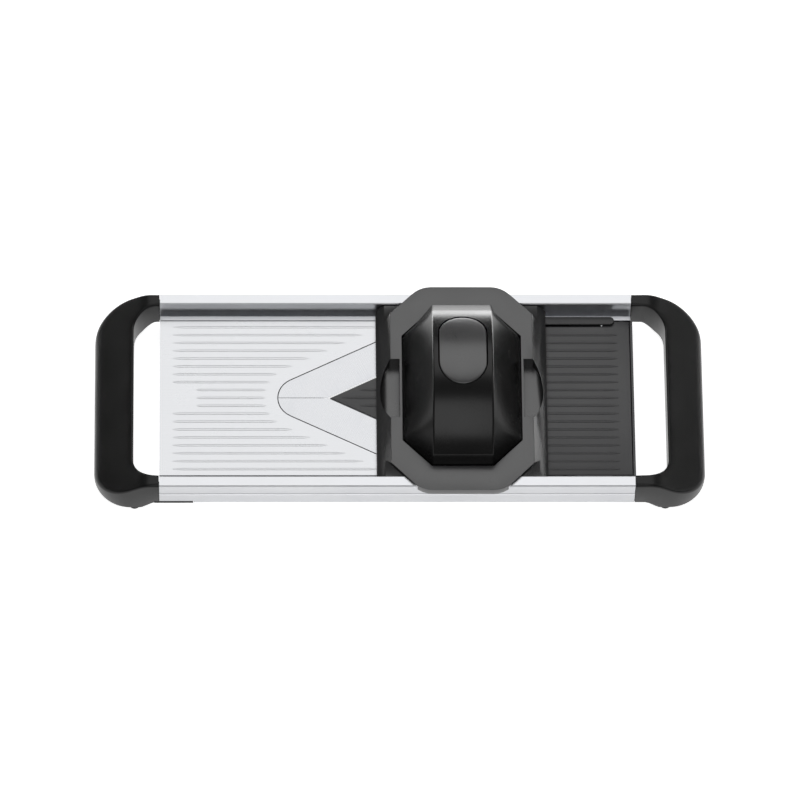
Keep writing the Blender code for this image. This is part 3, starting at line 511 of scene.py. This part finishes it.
def capsule(extra, arc=14, straight=8):
    """The button's outline from its rear pole down the right side and back up the left."""
    radius = BUTTON_X + extra
    run = BUTTON_Y - BUTTON_X
    right = [(radius * math.sin(math.pi / 2 * k / arc), run + radius * math.cos(math.pi / 2 * k / arc))
             for k in range(arc + 1)]
    right += [(radius, run - 2 * run * k / straight) for k in range(1, straight)]
    right += [(x, -y) for x, y in right[arc::-1]]
    left = [(-x, y) for x, y in right[-2:0:-1]]
    return right, [(HOLDER_X + x, BUTTON_MIDDLE + y) for x, y in right + left]


print("button outline:", len(capsule(0)[1]), "points")

# %% [markdown]
# Two skins are lofted from the same function, the inner one a wall's thickness further in. A band
# of faces along their hems closes them into one shell.

# %% Knob shell
solid = bmesh.new()
skins = []
for inset in (0, KNOB_WALL):
    rows = [[solid.verts.new(p) for p in row] for row in knob_rows(inset, KNOB_BOTTOM)]
    stitch(solid, rows)
    skins.append(edge_of(rows))
band(solid, *skins)
knob = piece_from(solid, "pusher_knob_shell")
print("knob shell before the hole:", len(knob.data.polygons), "faces")

# %% [markdown]
# The hole is cut with a Boolean, because a hole across a curved loft has no simple row of points.
# The cutter is the button's own outline, half a millimetre larger all round.

# %% Hole for the button
BUTTON_PLAY = 0.5 * MM
CUTTER_Z = (48.0 * MM, 80.0 * MM)
solid = bmesh.new()
rings = [[solid.verts.new((x, y, z)) for x, y in capsule(BUTTON_PLAY)[1]] for z in CUTTER_Z]
band(solid, *rings)
for ring in rings:
    solid.faces.new(ring)
cutter = piece_from(solid, "hole_cutter")
cut = knob.modifiers.new("button_hole", "BOOLEAN")
cut.operation = "DIFFERENCE"
cut.solver = "EXACT"
cut.object = cutter
print("cutter:", len(cutter.data.polygons), "faces")

# %% Bake the hole and add the inner shelf
SHELF_SIZE = (55.0 * MM, 48.0 * MM, 1.8 * MM)
SHELF_CENTRE = (HOLDER_X, 2.0 * MM, 43.9 * MM)


def baked(item, name):
    """A plain mesh object with the item's modifiers applied."""
    view = item.evaluated_get(bpy.context.evaluated_depsgraph_get())
    mesh = bpy.data.meshes.new_from_object(view)
    mesh.name = name
    result = bpy.data.objects.new(name, mesh)
    bpy.context.scene.collection.objects.link(result)
    bpy.data.objects.remove(item, do_unlink=True)
    return result


knob = baked(knob, "pusher_knob")
bpy.data.objects.remove(cutter, do_unlink=True)
solid = bmesh.new()
solid.from_mesh(knob.data)
block(solid, SHELF_SIZE, SHELF_CENTRE)
solid.to_mesh(knob.data)
solid.free()
knob.data.shade_smooth()
knob.data.set_sharp_from_angle(angle=math.radians(38))
hand_over(knob, "pusher", "knob_plastic", knob_plastic, "pusher_dome")

# %% [markdown]
# ## The eject button
# A pill that follows the knob's arch 0.4 mm below it. Its rim is rolled over and its middle is
# dished for a thumb. Rings shrink from the wall inwards, so the rolled rim stays even all round.

# %% Button
BUTTON_ROLL = 0.7 * MM
BUTTON_DISH = 0.5 * MM
BUTTON_DROP = 0.4 * MM
BUTTON_FOOT = 54.0 * MM
STEM_RADIUS = 4.0 * MM
STEM_Z = (27.5 * MM, 56.0 * MM)
solid = bmesh.new()
steps = [(0.0, None)]
for degrees in range(0, 91, 18):
    turn = math.radians(degrees)
    steps.append((BUTTON_ROLL * (1 - math.cos(turn)), BUTTON_ROLL * (1 - math.sin(turn))))
steps += [(BUTTON_X * share, 0.0) for share in (0.12, 0.22, 0.36, 0.52, 0.68, 0.84, 0.96)]
rings = []
for inset, fall in steps:
    share = inset / BUTTON_X
    dish = BUTTON_DISH * (1 - (1 - share) ** 2) * share
    ring = []
    for x, y in capsule(-inset)[1]:
        height = BUTTON_FOOT if fall is None else arch_height(y) - BUTTON_DROP - fall - dish
        ring.append(solid.verts.new((x, y, height)))
    rings.append(ring)
for near, far in zip(rings, rings[1:]):
    band(solid, near, far)
print("button rings:", len(rings))

# %% Close the button and give it its stem
count = len(rings[-1])
half = count // 2
for ring in (rings[0], rings[-1]):
    for k in range(half):
        loop = [ring[k], ring[k + 1], ring[(count - k - 1) % count], ring[(count - k) % count]]
        solid.faces.new(list(dict.fromkeys(loop)))
bmesh.ops.remove_doubles(solid, verts=solid.verts, dist=2e-6)
stem = bmesh.ops.create_cone(solid, cap_ends=True, segments=28, radius1=STEM_RADIUS,
                             radius2=STEM_RADIUS, depth=STEM_Z[1] - STEM_Z[0])["verts"]
bmesh.ops.translate(solid, vec=(HOLDER_X, 0, sum(STEM_Z) / 2), verts=stem)
button = piece_from(solid, "thumb_button", angle=50)
hand_over(button, "eject_button", "button_plastic", button_plastic, "eject_button")

# %% [markdown]
# ## Moulded pieces with rolled edges
# The food holder, the thickness bar and the feed plate keep their CAD solid. Each is copied, its
# flat faces are merged, and only the edges that a mould would round are rolled over.

# %% Roll the chosen edges of a copied solid
def world_solid(name):
    """A CAD node's solid in the shared frame, with its flat faces merged."""
    source = nodes[name]
    solid = bmesh.new()
    solid.from_mesh(source.data)
    solid.transform(source.matrix_world)
    bmesh.ops.remove_doubles(solid, verts=solid.verts, dist=1e-7)
    bmesh.ops.dissolve_limit(solid, angle_limit=math.radians(0.5), verts=solid.verts,
                             edges=solid.edges)
    return solid


def roll(solid, width, chosen, angle=28, segments=4):
    """Rounds the edges sharper than an angle whose two ends are both chosen."""
    edges = [e for e in solid.edges if len(e.link_faces) == 2 and e.is_convex
             and e.calc_face_angle() > math.radians(angle) and all(chosen(v.co) for v in e.verts)]
    bmesh.ops.bevel(solid, geom=edges, offset=width, offset_type="OFFSET", segments=segments,
                    profile=0.5, affect="EDGES", clamp_overlap=True)
    return len(edges)


bpy.context.view_layer.update()
print("edge helpers ready")

# %% [markdown]
# ## Handle loops
# Each handle is one U, swept from one rail to the other. Its grip is about three times as wide as
# its arms. Its heights come from the side view: a top that falls outwards over the grip, and a foot
# that steps down nearly to the table. Its four long edges are rolled, so that they catch the light.

# %% The handle's side view
HANDLE_END = 185.0 * MM
ARM_INNER = 58.0 * MM
ARM_OUTER = rail_high[1]
OUTER_CORNER = 22.0 * MM
INNER_CORNER = 14.0 * MM
RAIL_TOP = rail_high[2]
RAIL_FOOT = rail_low[2]
HANDLE_GAP = 0.3 * MM        # between a handle and the end of its rail
TONGUE = 20.4 * MM           # how far its tongues and spigots go into the rail
TONGUE_INNER = 59.5 * MM
TONGUE_HEIGHT = 1.8 * MM
SPIGOT_Y = (61.1 * MM, 63.9 * MM)
SPIGOT_Z = (16.3 * MM, 27.7 * MM)


def reader(line):
    """The height of a side view line at any X."""
    xs, zs = zip(*line)
    return lambda x: float(np.interp(x, xs, zs))


top_line = reader(bend([(0.140, RAIL_TOP, 0), (0.1540, RAIL_TOP, 14 * MM), (HANDLE_END, 0.0100, 7 * MM),
                        (HANDLE_END + 1e-5, 0.0030, 0)], 10))
foot_line = reader(bend([(0.140, RAIL_FOOT, 0), (0.1490, RAIL_FOOT, 3 * MM), (0.1565, 0.0028, 2 * MM),
                         (HANDLE_END, 0.0030, 0)], 6))
print("grip top at its middle:", round(top_line(0.173) / MM, 1), "mm")

# %% [markdown]
# A sweep needs a path and a section. The path is a list of pairs, one point on the inner line and
# one on the outer, so that both corners can have their own radius. The section is dense where an
# edge is rolled and sparse where it is flat.

# %% Handle path and section
TOP_ROLL = 1.9 * MM
FOOT_ROLL = 0.8 * MM


def roll_shares(width, radius, steps=5):
    """Distances across a section, with the roll's drop at each: dense at both rolled edges."""
    turn = [math.radians(90 * k / steps) for k in range(steps + 1)]
    edge = [(radius * (1 - math.cos(t)), radius * (1 - math.sin(t))) for t in turn]
    middle = [(radius + (width - 2 * radius) * k / 8, 0.0) for k in range(1, 8)]
    return edge + middle + [(width - d, drop) for d, drop in edge[::-1]]


def handle_path(start, grip, corner_steps=14, run_steps=10):
    """Pairs of inner and outer plan points, from the rear arm's root round to the front arm's."""
    inner_centre = (grip - INNER_CORNER, ARM_INNER - INNER_CORNER)
    outer_centre = (HANDLE_END - OUTER_CORNER, ARM_OUTER - OUTER_CORNER)
    path = []
    for k in range(run_steps):
        share = k / run_steps
        path.append(((start + (inner_centre[0] - start) * share, ARM_INNER),
                     (start + (outer_centre[0] - start) * share, ARM_OUTER)))
    for k in range(corner_steps + 1):
        turn = math.pi / 2 * (1 - k / corner_steps)
        path.append(tuple((centre[0] + radius * math.cos(turn), centre[1] + radius * math.sin(turn))
                          for centre, radius in ((inner_centre, INNER_CORNER),
                                                 (outer_centre, OUTER_CORNER))))
    path.append(((grip, 0.0), (HANDLE_END, 0.0)))
    mirrored = [tuple((x, -y) for x, y in pair) for pair in path[-2::-1]]
    return path + mirrored


print("path pairs:", len(handle_path(-rail_low[0], 160 * MM)))

# %% Handle sweep
def handle_ring(pair, hand):
    """One closed section: across the top from the inner side, and back along the foot."""
    (ix, iy), (ox, oy) = pair
    width = math.hypot(ox - ix, oy - iy)
    ring = []
    for share, rise in [(d / width, -drop) for d, drop in roll_shares(width, TOP_ROLL)]:
        x, y = ix + (ox - ix) * share, iy + (oy - iy) * share
        ring.append((hand * x, y, top_line(x) + rise))
    for share, rise in [(d / width, drop) for d, drop in roll_shares(width, FOOT_ROLL, 3)[::-1]]:
        x, y = ix + (ox - ix) * share, iy + (oy - iy) * share
        ring.append((hand * x, y, foot_line(x) + rise))
    return ring


def handle_loop(name, hand, start, grip, tongue_reach):
    """The whole handle with its tongues and spigots. hand is -1 at the left and 1 at the right."""
    solid = bmesh.new()
    rows = [[solid.verts.new(point) for point in handle_ring(pair, hand)]
            for pair in handle_path(start, grip)]
    for near, far in zip(rows, rows[1:]):
        band(solid, near, far)
    solid.faces.new(rows[0])
    solid.faces.new(rows[-1])
    sunk = 3 * MM    # added to each block's length, so that its root lies inside the handle
    middle = hand * (start - TONGUE / 2 + 0.4 * sunk)
    tongue = ((TONGUE_INNER, tongue_reach), (RAIL_FOOT, RAIL_FOOT + TONGUE_HEIGHT))
    for end in (1, -1):
        for y, z in (tongue, (SPIGOT_Y, SPIGOT_Z)):
            block(solid, (TONGUE + sunk, y[1] - y[0], z[1] - z[0]),
                  (middle, end * sum(y) / 2, sum(z) / 2))
    return piece_from(solid, name, angle=44)


print("handle section:", len(handle_ring(handle_path(-rail_low[0], 160 * MM)[0], 1)), "points")

# %% Left and right handle
LEFT_GRIP = 161.3 * MM
RIGHT_GRIP = 162.0 * MM
RIGHT_TONGUE_REACH = 64.9 * MM
left = handle_loop("left_grip_loop", -1, HANDLE_GAP - rail_low[0], LEFT_GRIP, ARM_OUTER)
right = handle_loop("right_grip_loop", 1, rail_high[0] + HANDLE_GAP, RIGHT_GRIP, RIGHT_TONGUE_REACH)
hand_over(left, "frame", "handle_plastic", handle_plastic, "left_handle")
hand_over(right, "frame", "handle_plastic", handle_plastic, "right_handle")

# %% [markdown]
# The holder keeps sharp edges inside its sleeve, where the pusher runs, and at its foot. Only the
# edges of its upper part outside the sleeve are rolled.

# %% Food holder
RIM_ROLL = 0.7 * MM
RIM_FOOT = 27.0 * MM
SLEEVE_CLEAR = (30.0 * MM, 40.0 * MM)    # half sizes of the inner part that stays sharp


def on_rim(point):
    outside = abs(point.x - HOLDER_X) > SLEEVE_CLEAR[0] or abs(point.y) > SLEEVE_CLEAR[1]
    return point.z > RIM_FOOT and outside


solid = world_solid("carriage_shell")
print("holder:", roll(solid, RIM_ROLL, on_rim), "edges rolled")
holder = piece_from(solid, "food_holder", angle=35)
hand_over(holder, "carriage", "holder_plastic", holder_plastic, "carriage_shell")

# %% [markdown]
# The bar is what a finger pushes to set the thickness, so its top is rolled. The feed plate's top
# edges are eased just enough for food to slide on without catching.

# %% Thickness bar and feed plate
BAR_ROLL = 0.5 * MM
BAR_FOOT = 20.0 * MM
FEED_ROLL = 0.35 * MM
FEED_FOOT = 19.5 * MM
solid = world_solid("thickness_bar")
print("bar:", roll(solid, BAR_ROLL, lambda p: p.z > BAR_FOOT), "edges rolled")
bar = piece_from(solid, "thickness_finger_bar", angle=40)
hand_over(bar, "thickness_slide", "slide_plastic", slide_plastic, "thickness_bar")
solid = world_solid("feed_plate")
print("feed plate:", roll(solid, FEED_ROLL, lambda p: p.z > FEED_FOOT, segments=3), "edges rolled")
feed = piece_from(solid, "feed_table", angle=35)
hand_over(feed, "feed_plate", "feed_plastic", feed_plastic, "feed_plate")

# %% [markdown]
# ## Pressed ribs, made by Geometry Nodes
# Ribs let wet food glide without sticking. The landing plate and the feed plate share one pitch,
# so the ribs line up across the blades. One tree turns a row of guide points into ribs, and each
# guide carries its own length, because the V cuts the ribs to different lengths.

# %% Node group builder
def group_tree(name, inputs):
    """An empty geometry tree with named inputs, and its input and output nodes."""
    tree = bpy.data.node_groups.new(name, "GeometryNodeTree")
    tree.interface.new_socket("Geometry", in_out="INPUT", socket_type="NodeSocketGeometry")
    for label, kind in inputs:
        tree.interface.new_socket(label, in_out="INPUT", socket_type="NodeSocket" + kind)
    tree.interface.new_socket("Geometry", in_out="OUTPUT", socket_type="NodeSocketGeometry")
    return tree, tree.nodes.new("NodeGroupInput").outputs, tree.nodes.new("NodeGroupOutput")


def attribute(tree, name):
    """The output of a named float attribute of the guide points."""
    return node(tree, "GeometryNodeInputNamedAttribute", {"Name": name},
                data_type="FLOAT").outputs["Attribute"]


def grow(tree, name, points, values, settings):
    """Runs a tree on guide points and returns its result as one plain mesh object."""
    guide = bpy.data.meshes.new(name + "_guides")
    guide.from_pydata(points, [], [])
    for label, numbers in values.items():
        layer = guide.attributes.new(label, "FLOAT", "POINT")
        layer.data.foreach_set("value", numbers)
    item = bpy.data.objects.new(name + "_guides", guide)
    bpy.context.scene.collection.objects.link(item)
    modifier = item.modifiers.new("grow", "NODES")
    modifier.node_group = tree
    sockets = {s.name: s.identifier for s in tree.interface.items_tree if s.in_out == "INPUT"}
    for label, value in settings.items():
        modifier[sockets[label]] = value
    return baked(item, name)


print("tree helpers: group_tree, attribute, grow")

# %% [markdown]
# In the rib tree a line of length one stands on each guide point and is stretched to that guide's
# length. A round section is swept along it and then squashed flat, so the lower half stays inside
# the plate. The section shrinks smoothly at both ends, as a pressed rib runs out.

# %% Rib tree
rib_tree, given, out = group_tree("pressed_ribs", [("Half Width", "Float"), ("Squash", "Float"),
                                                   ("Level", "Float"), ("Taper", "Float"),
                                                   ("Finish", "Material")])
line = node(rib_tree, "GeometryNodeCurvePrimitiveLine", {"Start": (0, 0, 0), "End": (1, 0, 0)})
fine_line = node(rib_tree, "GeometryNodeResampleCurve", {"Curve": line.outputs["Curve"],
                                                        "Count": 40})
length = node(rib_tree, "ShaderNodeCombineXYZ", {"X": attribute(rib_tree, "length"),
                                                 "Y": 1.0, "Z": 1.0})
laid = node(rib_tree, "GeometryNodeInstanceOnPoints", {"Points": given["Geometry"],
            "Instance": fine_line.outputs["Curve"], "Scale": length.outputs["Vector"]})
real = node(rib_tree, "GeometryNodeRealizeInstances", {"Geometry": laid.outputs["Instances"]})
along = node(rib_tree, "GeometryNodeSplineParameter")
to_end = node(rib_tree, "ShaderNodeMath", {0: 1.0, 1: along.outputs["Factor"]},
              operation="SUBTRACT")
nearest = node(rib_tree, "ShaderNodeMath", {0: along.outputs["Factor"], 1: to_end.outputs["Value"]},
               operation="MINIMUM")
swell = node(rib_tree, "ShaderNodeMapRange", {"Value": nearest.outputs["Value"],
             "From Max": given["Taper"], "To Min": 0.35}, interpolation_type="SMOOTHSTEP")
round_section = node(rib_tree, "GeometryNodeCurvePrimitiveCircle", {"Resolution": 14,
                                                                   "Radius": given["Half Width"]})
swept = node(rib_tree, "GeometryNodeCurveToMesh", {"Curve": real.outputs["Geometry"],
             "Profile Curve": round_section.outputs["Curve"], "Fill Caps": True,
             "Scale": swell.outputs["Result"]})
flatter = node(rib_tree, "ShaderNodeCombineXYZ", {"X": 1.0, "Y": 1.0, "Z": given["Squash"]})
raised = node(rib_tree, "ShaderNodeCombineXYZ", {"Z": given["Level"]})
pressed = node(rib_tree, "GeometryNodeTransform", {"Geometry": swept.outputs["Mesh"],
               "Scale": flatter.outputs["Vector"], "Translation": raised.outputs["Vector"]})
smooth = node(rib_tree, "GeometryNodeSetShadeSmooth", {"Geometry": pressed.outputs["Geometry"]})
whole = node(rib_tree, "GeometryNodeRealizeInstances", {"Geometry": smooth.outputs["Geometry"]})
coated = node(rib_tree, "GeometryNodeSetMaterial", {"Geometry": whole.outputs["Geometry"],
                                                    "Material": given["Finish"]})
rib_tree.links.new(coated.outputs["Geometry"], out.inputs["Geometry"])
print("rib tree:", len(rib_tree.nodes), "nodes")

# %% [markdown]
# The landing ribs end on a V that runs parallel to the cutting edges and is rounded at its nose.
# The feed ribs start on a second V, a sharp one, just past the edges. One function gives both.

# %% Where the ribs start and stop
RIB_COUNT = 19
RIB_PITCH = 5.41 * MM
EDGE_APEX = -43.9 * MM
HALF_ANGLE = math.radians(26.7)
LANDING_START = plate_low[0] + 8.0 * MM
MIDDLE_START = plate_low[0] + 22.4 * MM
LANDING_OFFSET = 29.0 * MM
LANDING_NOSE = 21.7 * MM
FEED_OFFSET = -4.0 * MM
FEED_STOP = 133.0 * MM


def v_edge(y, offset, nose=0.0):
    """Where a line parallel to the cutting edges, with a rounded nose, crosses a given Y."""
    apex = EDGE_APEX - offset / math.sin(HALF_ANGLE)
    if abs(y) < nose * math.cos(HALF_ANGLE):
        return apex + nose / math.sin(HALF_ANGLE) - math.sqrt(nose ** 2 - y ** 2)
    return apex + abs(y) / math.tan(HALF_ANGLE)


rows = [(k - (RIB_COUNT - 1) / 2) * RIB_PITCH for k in range(RIB_COUNT)]
print("rib rows reach", round(rows[-1] / MM, 1), "mm to each side")

# %% Landing ribs
starts = [MIDDLE_START if abs(y) < 1.5 * RIB_PITCH else LANDING_START for y in rows]
points = [(x, y, 0.0) for x, y in zip(starts, rows)]
lengths = [v_edge(y, LANDING_OFFSET, LANDING_NOSE) - x for x, y in zip(starts, rows)]
ribs = grow(rib_tree, "landing_plate_ribs", points, {"length": lengths},
            {"Half Width": 0.72 * MM, "Squash": 0.20, "Level": plate_high[2], "Taper": 0.05,
             "Finish": plate_steel})
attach(ribs, "frame")
print("landing ribs:", len(ribs.data.polygons), "faces")

# %% Feed ribs
MARGIN_Y = 48.0 * MM     # the rearmost row would crowd the thickness bar
feed_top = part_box("feed_plate")[1][2]
rib_rows = [y for y in rows if y < MARGIN_Y]
points = [(v_edge(y, FEED_OFFSET), y, 0.0) for y in rib_rows]
lengths = [FEED_STOP - x for x, _, _ in points]
ribs = grow(rib_tree, "feed_plate_ribs", points, {"length": lengths},
            {"Half Width": 0.75 * MM, "Squash": 0.50, "Level": feed_top, "Taper": 0.04,
             "Finish": feed_plastic})
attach(ribs, "feed_plate")
print("feed ribs:", len(ribs.data.polygons), "faces")

# %% [markdown]
# ## Screws, made by Geometry Nodes
# Screws hold everything from below. One tree makes a pan head with a hexagon socket and sets a copy
# on each guide point, at its own size. Each moving body gets one mesh, so its screws travel with it.

# %% Screw tree
screw_tree, given, out = group_tree("socket_screws", [("Socket", "Float"), ("Finish", "Material")])
head = node(screw_tree, "GeometryNodeMeshCylinder", {"Vertices": 32, "Radius": 1.0, "Depth": 0.5})
crown = node(screw_tree, "GeometryNodeMeshCone", {"Vertices": 32, "Radius Top": 1.0,
                                                  "Radius Bottom": 0.8, "Depth": 0.16})
hexagon = node(screw_tree, "GeometryNodeMeshCylinder", {"Vertices": 6, "Radius": given["Socket"],
                                                        "Depth": 0.5})
shank = node(screw_tree, "GeometryNodeMeshCylinder", {"Vertices": 20, "Radius": 0.45, "Depth": 1.0})
parts = []
for mesh, height in ((head, 0.41), (crown, 0.08), (shank, 1.0)):
    lifted = node(screw_tree, "GeometryNodeTransform", {"Geometry": mesh.outputs["Mesh"],
                                                        "Translation": (0, 0, height)})
    parts.append(lifted.outputs["Geometry"])
merged = node(screw_tree, "GeometryNodeMeshBoolean", operation="UNION", solver="EXACT")
for part in parts:
    screw_tree.links.new(part, merged.inputs["Mesh 2"])
cut = node(screw_tree, "GeometryNodeMeshBoolean", {"Mesh 1": merged.outputs["Mesh"],
           "Mesh 2": hexagon.outputs["Mesh"]}, operation="DIFFERENCE", solver="EXACT")
size = node(screw_tree, "ShaderNodeCombineXYZ", {k: attribute(screw_tree, "size") for k in "XYZ"})
laid = node(screw_tree, "GeometryNodeInstanceOnPoints", {"Points": given["Geometry"],
            "Instance": cut.outputs["Mesh"], "Scale": size.outputs["Vector"]})
real = node(screw_tree, "GeometryNodeRealizeInstances", {"Geometry": laid.outputs["Instances"]})
coated = node(screw_tree, "GeometryNodeSetMaterial", {"Geometry": real.outputs["Geometry"],
                                                      "Material": given["Finish"]})
screw_tree.links.new(coated.outputs["Geometry"], out.inputs["Geometry"])
print("screw tree:", len(screw_tree.nodes), "nodes")

# %% [markdown]
# A screw's place and size come from the box of the CAD screw that it stands for, so a change in the
# frame moves it too.

# %% One set of screws for each body
SCREW_SETS = {
    "frame": [name for name in nodes
              if name.endswith(("handle_screw", "brace_screw", "carrier_screw"))],
    "thickness_slide": ["yoke_screw_1", "yoke_screw_2"],
    "pusher": [f"plate_screw_{k}" for k in range(1, 5)],
    "eject_button": ["ejector_screw"],
}
for body, names in SCREW_SETS.items():
    boxes = [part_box(name) for name in names]
    points = [((low[0] + high[0]) / 2, (low[1] + high[1]) / 2, low[2]) for low, high in boxes]
    sizes = [(high[0] - low[0]) / 2 for low, high in boxes]
    screws = grow(screw_tree, body + "_screws", points, {"size": sizes},
                  {"Socket": 0.5, "Finish": screw_zinc})
    hand_over(screws, body, "fasteners", screw_zinc, *names)

# %% [markdown]
# ## The button's spring
# The coil is wound finer than in the frame. Its lower end stays where it is, just above the knob's
# inner shelf.

# %% Spring
spring_low, spring_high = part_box("button_spring")
WIRE = 0.5 * MM
COIL = (spring_high[0] - spring_low[0]) / 2 - WIRE
TURNS = 4
PER_TURN = 32
AROUND = 10
RISE = spring_high[2] - spring_low[2]
solid = bmesh.new()
rings = []
for step in range(TURNS * PER_TURN + 1):
    turn = 2 * math.pi * step / PER_TURN
    height = spring_low[2] + WIRE + (RISE - 2 * WIRE) * step / (TURNS * PER_TURN)
    outwards = Vector((math.cos(turn), math.sin(turn), 0))
    middle = Vector((HOLDER_X, 0, height)) + outwards * COIL
    ring = []
    for k in range(AROUND):
        angle = 2 * math.pi * k / AROUND
        offset = outwards * math.cos(angle) + Vector((0, 0, 1)) * math.sin(angle)
        ring.append(solid.verts.new(middle + offset * WIRE))
    rings.append(ring)
for near, far in zip(rings, rings[1:]):
    band(solid, near, far)
solid.faces.new(rings[0])
solid.faces.new(rings[-1])
spring = piece_from(solid, "button_coil")
hand_over(spring, "pusher", "bright_steel", bright_steel, "button_spring")
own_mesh(spring)
